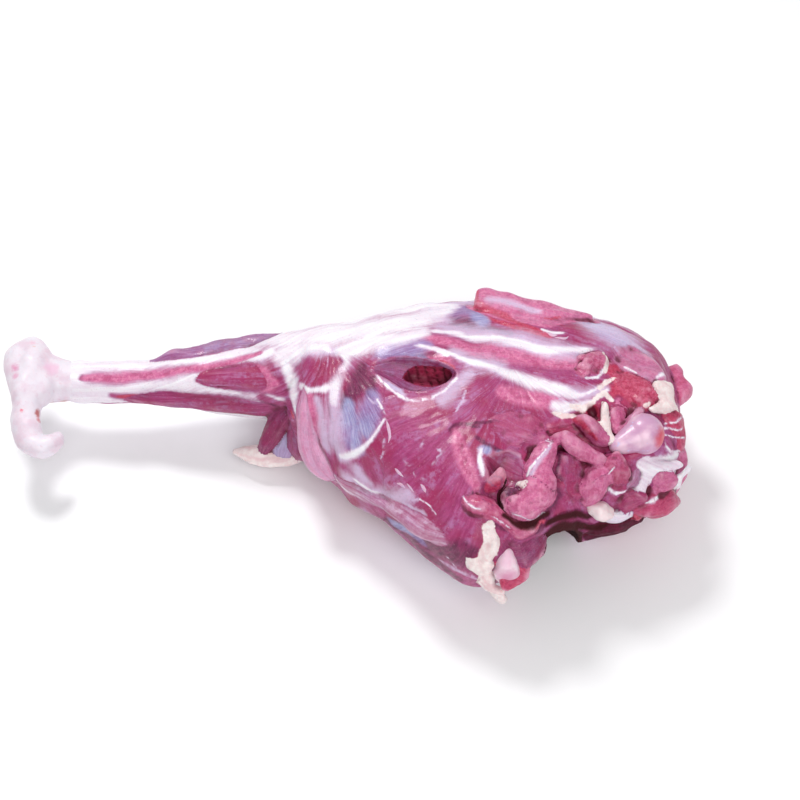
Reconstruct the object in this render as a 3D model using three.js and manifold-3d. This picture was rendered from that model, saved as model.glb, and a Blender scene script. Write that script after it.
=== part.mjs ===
// Raw leg of lamb: the hind leg with its shank and hock, laid on its side.
// Millimetres, +Z up. +X runs from the hock to the cut hip end and -Y is the side of the heel bone's hook.
// The origin is under the middle of the leg, on the surface that the thigh rests on.
import * as THREE from "three";
import { mergeVertices } from "three/addons/utils/BufferGeometryUtils.js";
import Module from "manifold-3d";

// Driving dimensions.
const BONE_GAP = 0.4; // clearance between a bone and the meat round it
const SHANK_END = -181; // where the meat of the shank stops and the hock begins
const HIP_BALL_RADIUS = 12.5;
const FAR = 300; // further than any point of the leg
const OUTWARD = new THREE.Vector3(0, -0.4, 0.9); // the side of the leg that its folds and scraps stand out of

const wasm = await Module();
wasm.setup();

// Each row of a form below is a place on its middle line and its half sizes there:
// x, y, z, half width, half height above the line, half height below it.
const THIGH = [
  [-38, 38, 50, 16, 18, 18],
  [-21, 39, 50, 45, 36, 36],
  [5, 28, 50, 59, 44, 48],
  [36, 18, 51, 77, 50, 54],
  [79, 3, 52, 100, 51, 56],
  [106, 7, 51, 96, 50, 55],
  [141, 15, 50, 79, 49, 54],
  [172, 17, 48, 71, 46, 51],
  [196, 19, 44, 59, 40, 42],
  [213, 14, 41, 36, 28, 27],
];
const SHANK = [
  [SHANK_END - 12, 58, 39, 15, 14, 14],
  [-152, 56, 40, 13, 13, 13],
  [-126, 57, 41, 14, 14, 14],
  [-93, 58, 43, 20, 18, 17],
  [-60, 57, 46, 24, 23, 22],
  [-34, 55, 50, 27, 30, 30],
  [-10, 50, 51, 34, 37, 38],
  [24, 44, 52, 40, 41, 44],
];

// Muscles and torn edges that stand out of the thigh and the shank.
const FOLDS = {
  // the shank: muscle behind, muscle in front, the spindle above it and the heel tendon below
  back_muscle: [[-130, 62, 50, 5, 4, 4], [-80, 66, 58, 9, 6, 7], [-35, 70, 68, 8, 5, 6]],
  front_muscle: [[-146, 46, 39, 4, 4, 4], [-100, 43, 41, 8, 7, 7], [-55, 39, 43, 11, 8, 9],
    [-30, 36, 45, 8, 5, 6]],
  shin_spindle: [[-94, 47, 56, 4, 3, 4], [-66, 43, 62, 8, 5, 6], [-44, 40, 64, 7, 3, 6]],
  heel_tendon: [[-118, 46, 33, 2, 3, 3], [-75, 40, 31, 3, 4, 4], [-38, 36, 31, 4, 5, 5]],
  // the loose end of the flank beside the knee, with its fat
  knee_flap_left: [[-32, 33, 47, 7, 6, 8], [-42, 25, 36, 8, 6, 7], [-50, 19, 23, 7, 5, 6],
    [-54, 17, 15, 4, 4, 4]],
  knee_flap_right: [[-26, 32, 49, 7, 6, 8], [-26, 19, 36, 9, 6, 8], [-26, 13, 24, 9, 6, 8],
    [-28, 11, 16, 5, 4, 4]],
  knee_web: [[-34, 28, 40, 8, 3, 8], [-38, 18, 26, 9, 3, 8], [-40, 13, 16, 8, 3, 6]],
  knee_fat: [[-73, 20, 13, 3, 3, 4], [-56, 17, 14, 8, 5, 6], [-38, 17, 15, 9, 5, 7], [-20, 17, 19, 6, 5, 6]],
  knee_column: [[-13, 30, 81, 9, 4, 10], [-14, 9, 72, 13, 6, 12], [-13, -8, 56, 13, 7, 12],
    [-5, -23, 42, 9, 6, 10]],
  front_rim: [[-2, -22, 48, 6, 5, 8], [18, -37, 53, 7, 5, 8], [38, -56, 60, 8, 6, 8], [56, -73, 66, 9, 6, 8],
    [74, -80, 72, 7, 4, 8]],
  // the front of the cut end, from the long muscle down to the lobe at the tip
  long_muscle: [[72, -16, 93, 4, 3, 6], [83, -22, 95, 8, 4, 8], [95, -27, 95, 12, 5, 10],
    [108, -30, 94, 14, 6, 10], [120, -30, 92, 11, 5, 10], [128, -28, 90, 7, 4, 8]],
  torn_lump: [[69, -22, 92, 6, 3, 8], [70, -30, 92, 10, 5, 9], [72, -40, 91, 13, 6, 9],
    [75, -49, 89, 13, 6, 9], [79, -58, 86, 9, 6, 8]],
  curl: [[127, -35, 95, 5, 5, 8], [121, -42, 95, 8, 7, 8], [118, -51, 93, 9, 8, 9], [119, -59, 89, 9.5, 9, 10],
    [116, -65, 86, 10, 10, 10], [108, -68, 84, 9, 9, 10], [101, -65, 83, 7, 7, 8], [98, -59, 86, 4, 4, 8]],
  lip: [[71, -67, 89, 3, 2, 8], [77, -72, 89, 6, 4, 8], [85, -72, 87, 7, 5, 8], [92, -74, 83, 6, 5, 8],
    [99, -78, 79, 4, 4, 8], [110, -79, 75, 4, 4, 8], [117, -75, 74, 4, 4, 8]],
  under_lobe: [[89, -83, 74, 7, 4, 9], [101, -84, 66, 12, 6, 12], [113, -77, 61, 10, 6, 12],
    [121, -70, 60, 5, 4, 10]],
  // the arch over the drape, the column of cut meat behind it and what hangs below them
  arch: [[125, -35, 95, 4, 5, 8], [130, -32, 97, 4.5, 6, 8], [135, -35, 97, 5.5, 7, 8],
    [142, -38, 95, 5.5, 7, 8], [148, -39, 91, 5, 6, 8], [157, -39, 87, 4, 5, 8]],
  column: [[133, -35, 90, 9, 3, 9], [134, -43, 86, 10, 4, 9], [133, -51, 79, 11, 4, 9],
    [130, -56, 70, 9, 4, 9]],
  drape: [[147, -42, 86, 10, 3, 9], [150, -47, 83, 11, 6, 9], [149, -52, 78, 10, 7, 9],
    [147, -56, 71, 8, 6, 9], [146, -58, 66, 4, 4, 8]],
  bottom_meat: [[140, -50, 44, 8, 7, 14], [154, -52, 42, 11, 8, 18], [170, -48, 40, 11, 8, 18],
    [188, -38, 38, 8, 6, 14]],
  // the end: round the hip ball and down to the surface
  rib_meat: [[191, 0, 82, 6, 4, 10], [199, -3, 76, 9, 6, 10], [203, -9, 68, 7, 5, 10],
    [201, -17, 62, 6, 5, 10]],
  right_rim: [[204, -6, 64, 5, 4, 12], [207, -15, 57, 6, 6, 12], [206, -25, 50, 7, 6, 12],
    [202, -35, 42, 7, 6, 12]],
  lower_lump: [[175, -56, 57, 6, 4, 12], [186, -52, 56, 10, 7, 12], [194, -46, 53, 11, 7, 12],
    [204, -39, 47, 7, 5, 10]],
  middle_lump: [[158, -33, 86, 5, 3, 8], [161, -41, 85, 7, 5, 9], [164, -46, 80, 8, 6, 9],
    [164, -51, 74, 7, 5, 9]],
  end_lump: [[186, -44, 68, 6, 5, 10], [194, -39, 63, 8, 7, 10], [201, -32, 58, 4, 4, 8]],
  drip: [[180, -51, 56, 4, 5, 8], [179, -55, 50, 4, 5, 8], [181, -56, 43, 2, 3, 6]],
  short_tube: [[138, -13, 93, 3, 3, 8], [143, -17, 94, 5, 6, 8], [149, -22, 93, 5.5, 6, 8],
    [155, -26, 91, 5, 5, 8], [159, -29, 88, 3, 4, 6]],
  grey_strap: [[175, -38, 76, 4, 2, 8], [174, -44, 72, 4.5, 3, 8], [171, -49, 68, 4, 3, 8]],
  ball_strand: [[164, -25, 87, 2, 3, 5], [169, -20, 91, 3, 4, 6], [176, -12, 92, 3, 4, 6],
    [178, -2, 88, 3, 4, 6]],
  lower_band: [[185, -50, 66, 4, 3, 9], [174, -53, 62, 5, 4, 9], [163, -56, 59, 5, 4, 9]],
};

// Flat scraps with an uneven edge, as points round the edge: fat, loose film and cut ends of meat.
const PLATES = {
  upper_fat: [[80, -80, 80], [82, -80, 81], [85, -81, 81], [88, -81, 82], [89, -83, 81], [89, -85, 78],
    [90, -88, 76], [89, -91, 72], [88, -93, 69], [87, -94, 67], [84, -93, 68], [81, -92, 67], [79, -89, 69],
    [80, -87, 72], [79, -85, 75], [80, -82, 78]],
  lower_fat: [[80, -92, 66], [76, -92, 64], [76, -94, 62], [76, -96, 60], [77, -97, 59], [79, -97, 60],
    [80, -99, 58], [86, -100, 59], [87, -100, 60], [88, -97, 63], [90, -96, 65], [88, -95, 66], [84, -94, 65],
    [82, -92, 67]],
  tip_fat: [[83, -94, 53], [86, -96, 57], [90, -98, 53], [92, -98, 50], [93, -99, 45], [96, -100, 43],
    [97, -101, 42], [97, -100, 35], [95, -99, 26], [93, -98, 26], [86, -95, 35], [82, -94, 39]],
  tip_meat: [[93, -93, 66], [96, -90, 67], [101, -88, 67], [107, -85, 67], [110, -88, 62], [110, -92, 58],
    [109, -98, 53], [105, -103, 50], [99, -106, 50], [94, -106, 53], [91, -100, 60]],
  end_fat: [[187, 11, 96], [192, 15, 95], [199, 17, 91], [202, 14, 87], [202, 8, 85], [204, 3, 82],
    [203, 1, 82], [201, 1, 84], [195, -3, 86], [190, -5, 89], [186, -5, 91], [183, -4, 93], [189, 1, 91],
    [192, 4, 90], [189, 9, 94]],
  fat_strip: [[156, -6, 97], [158, -6, 97], [160, -11, 95], [161, -16, 94], [160, -18, 93], [161, -22, 92],
    [162, -26, 91], [160, -29, 91], [158, -30, 91], [156, -27, 92], [154, -21, 94], [153, -18, 95],
    [156, -17, 94], [155, -11, 96]],
  end_tendon: [[174, -35, 78], [182, -31, 77], [191, -31, 74], [201, -29, 72], [206, -31, 69], [199, -34, 69],
    [192, -36, 70], [187, -40, 69], [184, -45, 66], [181, -50, 63], [176, -50, 65], [177, -44, 69],
    [179, -39, 72], [175, -37, 75]],
  white_stripe: [[207, -28, 66], [211, -26, 61], [208, -30, 59], [205, -34, 58], [206, -35, 50],
    [203, -38, 51], [199, -40, 58], [198, -39, 65], [202, -35, 66]],
  curl_fat: [[103, -58, 92], [107, -59, 93], [111, -61, 94], [112, -63, 93], [109, -64, 92], [106, -62, 91],
    [103, -61, 91]],
  valley_ridge: [[84, -62, 88], [87, -60, 93], [91, -58, 97], [95, -55, 101], [97, -55, 94], [98, -56, 85],
    [95, -58, 81], [89, -61, 81]],
  blue_tendon: [[157, -59, 56], [164, -58, 58], [170, -56, 58], [176, -55, 57], [176, -56, 51], [169, -57, 49],
    [162, -59, 50], [157, -59, 51]],
  tongue: [[83, 87, 89], [85, 94, 88], [92, 95, 87], [106, 91, 87], [122, 87, 86], [139, 83, 86],
    [157, 76, 85], [158, 71, 86], [144, 68, 88], [135, 60, 89], [129, 53, 91], [122, 54, 91], [112, 59, 91],
    [101, 63, 92], [91, 70, 91], [85, 78, 91]],
  torn_top: [[145, 29, 100], [151, 33, 99], [158, 35, 97], [163, 33, 95], [166, 29, 94], [160, 24, 95],
    [157, 19, 95], [151, 18, 97], [146, 13, 97], [143, 18, 99], [146, 23, 99]],
  torn_hump: [[167, 41, 88], [179, 44, 87], [189, 36, 87], [196, 24, 88], [197, 16, 89], [191, 12, 90],
    [182, 17, 90], [172, 24, 90], [165, 33, 89]],
  torn_middle: [[165, 17, 93], [171, 21, 92], [180, 20, 91], [188, 12, 90], [191, 5, 89], [185, 0, 90],
    [178, -4, 91], [172, -1, 92], [168, 6, 93]],
  torn_low: [[164, 5, 91], [170, 3, 88], [173, -3, 86], [168, -15, 88], [163, -21, 90], [161, -10, 92]],
  side_tab: [[202, 45, 62], [209, 51, 62], [212, 53, 62], [215, 48, 62], [216, 41, 62], [219, 33, 62],
    [217, 27, 62], [212, 20, 62], [209, 24, 62], [200, 28, 62]],
};
// half of a plate's thickness
const PLATE_THICKNESS = { default: 2.5, tongue: 5, torn_top: 3.5, torn_hump: 5, torn_middle: 5, torn_low: 4,
  side_tab: 5, tip_meat: 3, end_fat: 3, tip_fat: 3, valley_ridge: 2.5, end_tendon: 2.8 };

// Hollows that the folds stand in: the dished cut end, the valleys between the folds and the undercut.
const HOLLOWS = {
  dish: [[104, -40, 104, 20, 12, 12], [135, -40, 101, 26, 14, 14], [168, -24, 98, 24, 14, 14],
    [192, -14, 94, 16, 14, 14]],
  valley: [[85, -47, 103, 5, 8, 10], [93, -52, 103, 12, 12, 14], [104, -56, 100, 13, 12, 13],
    [112, -58, 96, 8, 8, 9]],
  undercut: [[114, -112, 4, 12, 52, 20], [119, -86, 4, 19, 62, 20], [127, -62, 4, 19, 50, 20],
    [128, -42, 4, 16, 30, 20], [128, -26, 2, 9, 12, 10]],
  low_valley: [[83, -63, 98, 5, 8, 8], [91, -67, 97, 9, 9, 12], [99, -71, 91, 7, 8, 10]],
};

// Narrow gaps cut after the folds: the pocket between the muscles, the crevice behind the curl, a bone's pit.
const GAPS = {
  pocket: [[19, 21, 98, 5, 4, 4], [31, 19, 99, 9, 8, 6], [45, 14, 100, 12, 9, 8], [58, 13, 101, 9, 9, 8],
    [70, 14, 101, 4, 5, 5]],
  slit: [[37, 16, 95, 2, 6, 6], [45, 18, 94, 4, 8, 8], [54, 17, 94, 5, 9, 9], [63, 17, 95, 4, 8, 8],
    [69, 16, 97, 2, 6, 6]],
  crevice: [[98, -54, 94, 1, 3, 5], [97, -60, 91, 1.4, 4, 6], [94, -65, 89, 1.6, 4, 6],
    [96, -72, 86, 1.4, 4, 6], [99, -74, 82, 1, 3, 5]],
  curl_pocket: [[100, -61, 97, 3, 5, 5], [101, -65, 93, 4, 5, 6], [104, -67, 90, 2, 4, 5]],
  pit: [[150, -10, 101, 2.2, 3.5, 4], [151, -11, 95, 3, 4, 5], [153, -11, 89, 2, 3, 4]],
};

// The hock: its joint as rows and as points round a flat-faced block, and the hooked heel bone.
const HOCK = {
  knuckle: [[-203, 79, 51, 5, 6, 6], [-203, 71, 51, 9, 9, 9], [-202, 61, 49, 11, 13, 13],
    [-201, 50, 46, 11, 13, 13], [-202, 40, 44, 10, 11, 11]],
  hook: [[-206, 58, 47, 6, 8, 8], [-205, 49, 46, 10, 11, 11], [-204, 41, 45, 10.5, 11, 11],
    [-203, 33, 43, 9.3, 10, 10], [-203, 25, 41, 9, 9.5, 9.5], [-201, 17, 40, 9.5, 9, 9],
    [-198, 10, 38, 9, 9, 9], [-191, 6, 37, 8, 8, 8], [-185, 9, 37, 7, 7.5, 7.5], [-182, 13, 37, 6.5, 6, 6],
    [-181, 19, 37, 5, 4, 4]],
};
const HOCK_BLOCK = [[-222, 68, 50], [-219, 76, 49], [-212, 84, 47], [-206, 87, 46], [-200, 85, 45],
  [-196, 80, 44], [-192, 74, 43], [-188, 57, 43], [-187, 42, 43], [-190, 37, 44], [-195, 34, 45],
  [-202, 32, 47], [-210, 34, 49], [-216, 46, 49]];
const HOCK_BLOCK_THICKNESS = 13;
const PEG = [[SHANK_END + 14, 57, 39, 7, 7, 7], [SHANK_END - 12, 58, 40, 8, 8, 8]];
const NECK = [[-205, 58, 45, 21, 14, 14], [-194, 58, 42, 18.5, 14, 14], [SHANK_END - 3, 58, 40, 15.5, 13.5, 13.5],
  [SHANK_END + 14, 57, 39, 13, 12, 12]];
const HIP_BALL = [181, -20, 86];
const HIP_NECK = [[182, -19, 86, 10, 10, 10], [174, -24, 87, 9, 9, 9], [167, -28, 87, 6.5, 6.5, 6.5],
  [160, -31, 86, 4, 4, 4]];
const CARTILAGE = [[97, -84, 59, 7.5, 10, 10], [98, -103, 57, 7.5, 10, 10]];
const KNOB = [[146, -59, 68], [150, -57, 70], [156, -57, 70], [160, -59, 68], [162, -61, 65], [161, -63, 62],
  [157, -64, 60], [152, -64, 61], [149, -62, 63]];
const KNOB_THICKNESS = 6.5;

// A closed surface of rings between two poles. pointAt(t, angle) gives a point, with t from 0 to 1.
function closedSurface(rings, sides, pointAt) {
  const positions = [...pointAt(0, 0)];
  for (let i = 1; i < rings; i++) {
    const t = (1 - Math.cos((Math.PI * i) / rings)) / 2;
    for (let j = 0; j < sides; j++) positions.push(...pointAt(t, (2 * Math.PI * j) / sides));
  }
  positions.push(...pointAt(1, 0));
  const last = positions.length / 3 - 1;
  const at = (i, j) => 1 + (i - 1) * sides + (j % sides);
  const index = [];
  for (let j = 0; j < sides; j++) {
    index.push(0, at(1, j), at(1, j + 1));
    for (let i = 1; i < rings - 1; i++) {
      index.push(at(i, j), at(i + 1, j), at(i, j + 1));
      index.push(at(i, j + 1), at(i + 1, j), at(i + 1, j + 1));
    }
    index.push(at(rings - 1, j), last, at(rings - 1, j + 1));
  }
  const geometry = new THREE.BufferGeometry();
  geometry.setAttribute("position", new THREE.Float32BufferAttribute(positions, 3));
  geometry.setIndex(index);
  return geometry;
}

// A rounded section carried along the smooth line through the rows. outward is the way its height points,
// blunt makes the ends flatter, square makes the section boxier and grow makes it larger all round.
function loft(rows, { rings = 8, sides = 8, blunt = 4, square = 2, outward = [0, -0.4, 0.9], upright = false, grow = 0 } = {}) {
  const path = new THREE.CatmullRomCurve3(rows.map((row) => new THREE.Vector3(row[0], row[1], row[2])));
  const halves = new THREE.CatmullRomCurve3(rows.map((row) => new THREE.Vector3(row[3], row[4], row[5])));
  const out = new THREE.Vector3(...outward).normalize();
  const along = new THREE.Vector3(1, 0, 0);
  const rounded = (value) => Math.sign(value) * Math.abs(value) ** (2 / square);
  return closedSurface(rings, sides, (t, angle) => {
    const point = path.getPoint(t);
    const half = halves.getPoint(t);
    const tangent = upright ? along : path.getTangent(t);
    const side = new THREE.Vector3().crossVectors(tangent, out).normalize();
    const rise = new THREE.Vector3().crossVectors(side, tangent).normalize();
    const taper = Math.max(0, 1 - Math.abs(2 * t - 1) ** blunt) ** 0.5;
    const height = Math.sin(angle) > 0 ? half.y : half.z;
    point.addScaledVector(tangent, grow * (2 * t - 1));
    point.addScaledVector(side, rounded(Math.cos(angle)) * (half.x + grow) * taper);
    point.addScaledVector(rise, rounded(Math.sin(angle)) * (height + grow) * taper);
    return point.toArray();
  });
}

// A slab inside a smooth closed line through the outline's points. It is flat across the line's own plane, its
// half thickness is given, square makes its edge boxier and grow makes it larger all round.
function plate(outline, thickness, { rings = 6, sides = 12, square = 2.5, grow = 0 } = {}) {
  const points = outline.map((point) => new THREE.Vector3(...point));
  const middle = points.reduce((sum, point) => sum.add(point), new THREE.Vector3()).divideScalar(points.length);
  const normal = new THREE.Vector3();
  points.forEach((point, i) => {
    const next = points[(i + 1) % points.length];
    normal.add(new THREE.Vector3().crossVectors(point.clone().sub(middle), next.clone().sub(middle)));
  });
  normal.normalize();
  if (normal.dot(OUTWARD) > 0) points.reverse();
  else normal.negate();
  const rim = new THREE.CatmullRomCurve3(points, true);
  return closedSurface(rings, sides, (t, angle) => {
    const level = 2 * t - 1;
    const wide = Math.max(0, 1 - level * level) ** (1 / square);
    const high = Math.sign(level) * Math.abs(level) ** (2 / square) * (thickness + grow);
    const out = rim.getPoint(angle / (2 * Math.PI)).sub(middle);
    out.setLength(out.length() + grow).multiplyScalar(wide);
    return middle.clone().add(out).addScaledVector(normal, high).toArray();
  });
}

// A closed geometry as a manifold-3d solid.
function solid(geometry) {
  const bare = geometry.clone();
  bare.deleteAttribute("normal");
  bare.deleteAttribute("uv");
  const merged = mergeVertices(bare, 1e-4);
  return new wasm.Manifold(new wasm.Mesh({
    numProp: 3,
    vertProperties: new Float32Array(merged.attributes.position.array),
    triVerts: new Uint32Array(merged.index.array),
  }));
}

const joined = (solids) => solids.reduce((sum, next) => sum.add(next));

// A manifold-3d solid as a named mesh.
function mesh(name, body, color, roughness) {
  const { vertProperties, triVerts } = body.getMesh();
  const geometry = new THREE.BufferGeometry();
  geometry.setAttribute("position", new THREE.BufferAttribute(vertProperties, 3));
  geometry.setIndex(new THREE.BufferAttribute(triVerts, 1));
  geometry.computeVertexNormals();
  const made = new THREE.Mesh(geometry, new THREE.MeshStandardMaterial({ color, roughness, metalness: 0 }));
  made.name = name;
  return made;
}

// A box as a solid, from its lowest to its highest corner.
function block(low, high) {
  const size = high.map((value, i) => value - low[i]);
  const box = new THREE.BoxGeometry(...size);
  box.translate(...low.map((value, i) => value + size[i] / 2));
  return solid(box);
}

// The bones, drawn larger by grow for the sockets that they sit in.
function hipBone(grow = 0) {
  const ball = new THREE.SphereGeometry(HIP_BALL_RADIUS + grow, 20, 14);
  ball.translate(...HIP_BALL);
  return solid(ball).add(solid(loft(HIP_NECK, { rings: 10, sides: 12, blunt: 6, grow })));
}
function cartilageTip(grow = 0) {
  return solid(loft(CARTILAGE, { rings: 8, sides: 14, blunt: 6, outward: [0, 0, 1], grow }));
}
function trochanterKnob(grow = 0) {
  return solid(plate(KNOB, KNOB_THICKNESS, { rings: 8, sides: 14, square: 2, grow }));
}

function hockPeg(grow = 0) {
  return solid(loft(PEG, { rings: 6, sides: 12, blunt: 8, outward: [0, 0, 1], grow }));
}

// The meat: one solid, cut flat where it lies and square where the hock's peg enters it.
const upright = { upright: true, outward: [0, 0, 1] };
const lofts = (forms, options) => Object.values(forms).map((rows) => solid(loft(rows, options)));
const thigh = solid(loft(THIGH, { ...upright, rings: 30, sides: 37, blunt: 14, square: 2.3 }));
const shank = solid(loft(SHANK, { ...upright, rings: 18, sides: 20, blunt: 12 }));
let meat = thigh.add(shank);
for (const hollow of lofts(HOLLOWS)) meat = meat.subtract(hollow);
for (const fold of lofts(FOLDS)) meat = meat.add(fold);
for (const [name, outline] of Object.entries(PLATES)) {
  meat = meat.add(solid(plate(outline, PLATE_THICKNESS[name] ?? PLATE_THICKNESS.default)));
}
for (const gap of lofts(GAPS)) meat = meat.subtract(gap);
meat = meat.subtract(block([-FAR, -FAR, -FAR], [FAR, FAR, 0]));
meat = meat.subtract(block([-FAR, -FAR, -FAR], [SHANK_END, FAR, FAR]));
for (const bone of [hipBone, cartilageTip, trochanterKnob, hockPeg]) meat = meat.subtract(bone(BONE_GAP));

// The hock: its body is cut square to meet the shank, and the hook curls past that cut below it.
const { hook, ...body } = HOCK;
const hockBody = joined([
  solid(loft(NECK, { ...upright, rings: 10, sides: 20, blunt: 12 })),
  solid(plate(HOCK_BLOCK, HOCK_BLOCK_THICKNESS, { rings: 10, sides: 24 })),
  ...lofts(body, { rings: 12, sides: 12 }),
]).subtract(block([SHANK_END - BONE_GAP, -FAR, -FAR], [FAR, FAR, FAR]));
const hock = joined([hockBody, hockPeg(), ...lofts({ hook }, { rings: 12, sides: 12 })]);

const leg = new THREE.Group();
leg.add(mesh("leg_meat", meat, 0xa8476b, 0.45));
leg.add(mesh("hock_bone", hock, 0xf0dfdc, 0.5));
leg.add(mesh("femur_head", hipBone(), 0xd9c3d4, 0.35));
leg.add(mesh("cartilage_tip", cartilageTip(), 0xe08f9d, 0.35));
leg.add(mesh("trochanter_knob", trochanterKnob(), 0xe8cfcb, 0.4));
export default leg;
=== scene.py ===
# %% [markdown]
# # A raw leg of lamb
#
# The leg lies on its side: a bare hock with the hooked heel bone, a lean shank, and the thigh with the torn
# hip end where the ball of the thigh bone shows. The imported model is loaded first. Its solids settle where
# everything is and how large, and this script dresses them: each new piece stands for one of those solids,
# in the same place.

# %% The frame
import math

import bpy
import numpy as np
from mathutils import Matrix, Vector
from mathutils.bvhtree import BVHTree


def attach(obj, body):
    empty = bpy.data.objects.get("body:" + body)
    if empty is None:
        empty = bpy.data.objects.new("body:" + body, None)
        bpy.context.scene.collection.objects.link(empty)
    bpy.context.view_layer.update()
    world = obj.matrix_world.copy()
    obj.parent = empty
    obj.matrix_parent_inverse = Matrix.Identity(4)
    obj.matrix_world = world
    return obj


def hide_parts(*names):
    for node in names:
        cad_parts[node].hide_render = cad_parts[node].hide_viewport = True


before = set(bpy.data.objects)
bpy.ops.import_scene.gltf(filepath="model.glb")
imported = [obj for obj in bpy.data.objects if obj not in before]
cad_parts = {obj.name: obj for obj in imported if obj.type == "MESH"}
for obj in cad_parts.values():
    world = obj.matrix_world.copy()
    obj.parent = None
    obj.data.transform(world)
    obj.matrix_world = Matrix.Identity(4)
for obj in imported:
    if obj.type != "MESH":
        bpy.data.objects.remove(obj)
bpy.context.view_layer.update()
MM = 0.001
print("solids:", sorted(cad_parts))

# %% [markdown]
# ## Seen from a little above
#
# The camera comes first, so that every later step can be looked at. A long lens from about a metre away
# keeps the leg's proportions: its picture is 800 pixels square, and a 67.5 mm lens on a 36 mm sensor gives
# a field of 30 degrees.

# %% The camera
CAMERA_ELEVATION = 52.0
CAMERA_DISTANCE = 942 * MM
CAMERA_AIM = np.array([36, 26, 60]) * MM
LENS = 67.5
SENSOR_WIDTH = 36.0


def make_camera():
    """The camera stands off from the aim point along a line that rises by CAMERA_ELEVATION towards -Y."""
    rise = math.radians(CAMERA_ELEVATION)
    data = bpy.data.cameras.new("camera")
    data.lens = LENS
    data.sensor_width = SENSOR_WIDTH
    data.clip_start = 0.01
    camera = bpy.data.objects.new("camera", data)
    camera.location = CAMERA_AIM + CAMERA_DISTANCE * np.array([0, -math.cos(rise), math.sin(rise)])
    camera.rotation_euler = (math.pi / 2 - rise, 0, 0)
    bpy.context.scene.collection.objects.link(camera)
    bpy.context.scene.camera = camera
    return camera


camera = make_camera()
print("camera:", camera.location[:])

# %% [markdown]
# ## Flesh as lofts
#
# A muscle is a spindle: a rounded section that swells and thins along a curved middle line. So every
# muscle, fold and scrap of fat here is one loft. A row gives a place on the middle line and the half sizes
# of the section there. The same few rows that shaped the solid are used again, with many more rings and
# sides, so that the new surface follows the solid but has no facets.

# %% Smooth curves through rows


def smooth_curve(rows, t):
    """Points at t (0 to 1) on the centripetal Catmull-Rom curve through the rows: between two rows, a cubic
    whose end slopes come from the neighbours, weighted by the square root of the distances between them."""
    rows = np.asarray(rows, float)
    padded = np.vstack([2 * rows[0] - rows[1], rows, 2 * rows[-1] - rows[-2]])
    place = np.clip(t, 0, 1) * (len(rows) - 1)
    cell = np.minimum(place.astype(int), len(rows) - 2)
    w = (place - cell)[:, None]
    p0, p1, p2, p3 = (padded[cell + k] for k in range(4))
    gaps = np.sqrt(np.linalg.norm(np.diff(padded, axis=0), axis=1))[:, None]
    d1 = np.maximum(gaps[cell + 1], 1e-2)
    d0 = np.where(gaps[cell] < 1e-2, d1, gaps[cell])
    d2 = np.where(gaps[cell + 2] < 1e-2, d1, gaps[cell + 2])
    slope1 = ((p1 - p0) / d0 - (p2 - p0) / (d0 + d1) + (p2 - p1) / d1) * d1
    slope2 = ((p2 - p1) / d1 - (p3 - p1) / (d1 + d2) + (p3 - p2) / d2) * d1
    return (p1 + slope1 * w + (3 * (p2 - p1) - 2 * slope1 - slope2) * w**2
            + (2 * (p1 - p2) + slope1 + slope2) * w**3)


def unit(vectors):
    """The vectors at length 1."""
    return vectors / np.maximum(np.linalg.norm(vectors, axis=-1, keepdims=True), 1e-12)


def loft_frame(rows, t, outward, upright):
    """Middle line, half sizes and the three directions of the section at each t."""
    rows = np.asarray(rows, float)
    line = smooth_curve(rows[:, :3], t)
    half = smooth_curve(rows[:, 3:], t)
    step = 1e-4
    ahead, behind = (smooth_curve(rows[:, :3], np.clip(t + way, 0, 1)) for way in (step, -step))
    tangent = unit(ahead - behind)
    if upright:
        tangent = np.tile([1.0, 0.0, 0.0], (len(t), 1))
    side = unit(np.cross(tangent, unit(np.array(outward, float))))
    rise = unit(np.cross(side, tangent))
    return line, half, tangent, side, rise


def loft(rows, rings=28, sides=28, blunt=4, square=2, outward=(0, -0.4, 0.9), upright=False):
    """A closed surface: at t along the line and angle a round it, the point is
    line + side * cos(a)^(2/square) * half_width * taper + rise * sin(a)^(2/square) * half_height * taper,
    with taper = sqrt(1 - |2t - 1|^blunt), and one pole at each end. Returns its vertices and faces."""
    t = (1 - np.cos(np.pi * np.arange(rings + 1) / rings)) / 2
    line, half, _, side, rise = loft_frame(rows, t, outward, upright)
    angle = 2 * np.pi * np.arange(sides) / sides
    across = np.sign(np.cos(angle)) * np.abs(np.cos(angle)) ** (2 / square)
    up = np.sign(np.sin(angle)) * np.abs(np.sin(angle)) ** (2 / square)
    taper = np.sqrt(np.maximum(0, 1 - np.abs(2 * t - 1) ** blunt))[:, None]
    height = np.where(up > 0, half[:, 1:2], half[:, 2:3])
    grid = (line[:, None] + side[:, None] * (across * half[:, :1] * taper)[..., None]
            + rise[:, None] * (up * height * taper)[..., None])
    vertices = np.vstack([grid[0, :1], grid[1:-1].reshape(-1, 3), grid[-1, :1]])
    return vertices, closed_faces(rings, sides)


def closed_faces(rings, sides):
    """Triangles at the two poles and quads between them, for rings of sides points each, pointing
    outwards."""
    ring, point = np.meshgrid(np.arange(rings - 2), np.arange(sides), indexing="ij")
    here = 1 + ring * sides + point
    beside = 1 + ring * sides + (point + 1) % sides
    quads = np.stack([here, here + sides, beside + sides, beside], -1).reshape(-1, 4)
    last = (rings - 1) * sides + 1
    j = np.arange(sides)
    first_cap = np.stack([np.zeros_like(j), 1 + j, 1 + (j + 1) % sides], -1)
    base = 1 + (rings - 2) * sides
    last_cap = np.stack([base + j, np.full_like(j, last), base + (j + 1) % sides], -1)
    return quads.tolist() + first_cap.tolist() + last_cap.tolist()


def make_object(name, vertices, faces):
    """A mesh object at the origin, from vertices in millimetres."""
    mesh = bpy.data.meshes.new(name)
    mesh.from_pydata((np.asarray(vertices) * MM).tolist(), [], faces)
    mesh.shade_smooth()
    obj = bpy.data.objects.new(name, mesh)
    bpy.context.scene.collection.objects.link(obj)
    return obj


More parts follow.
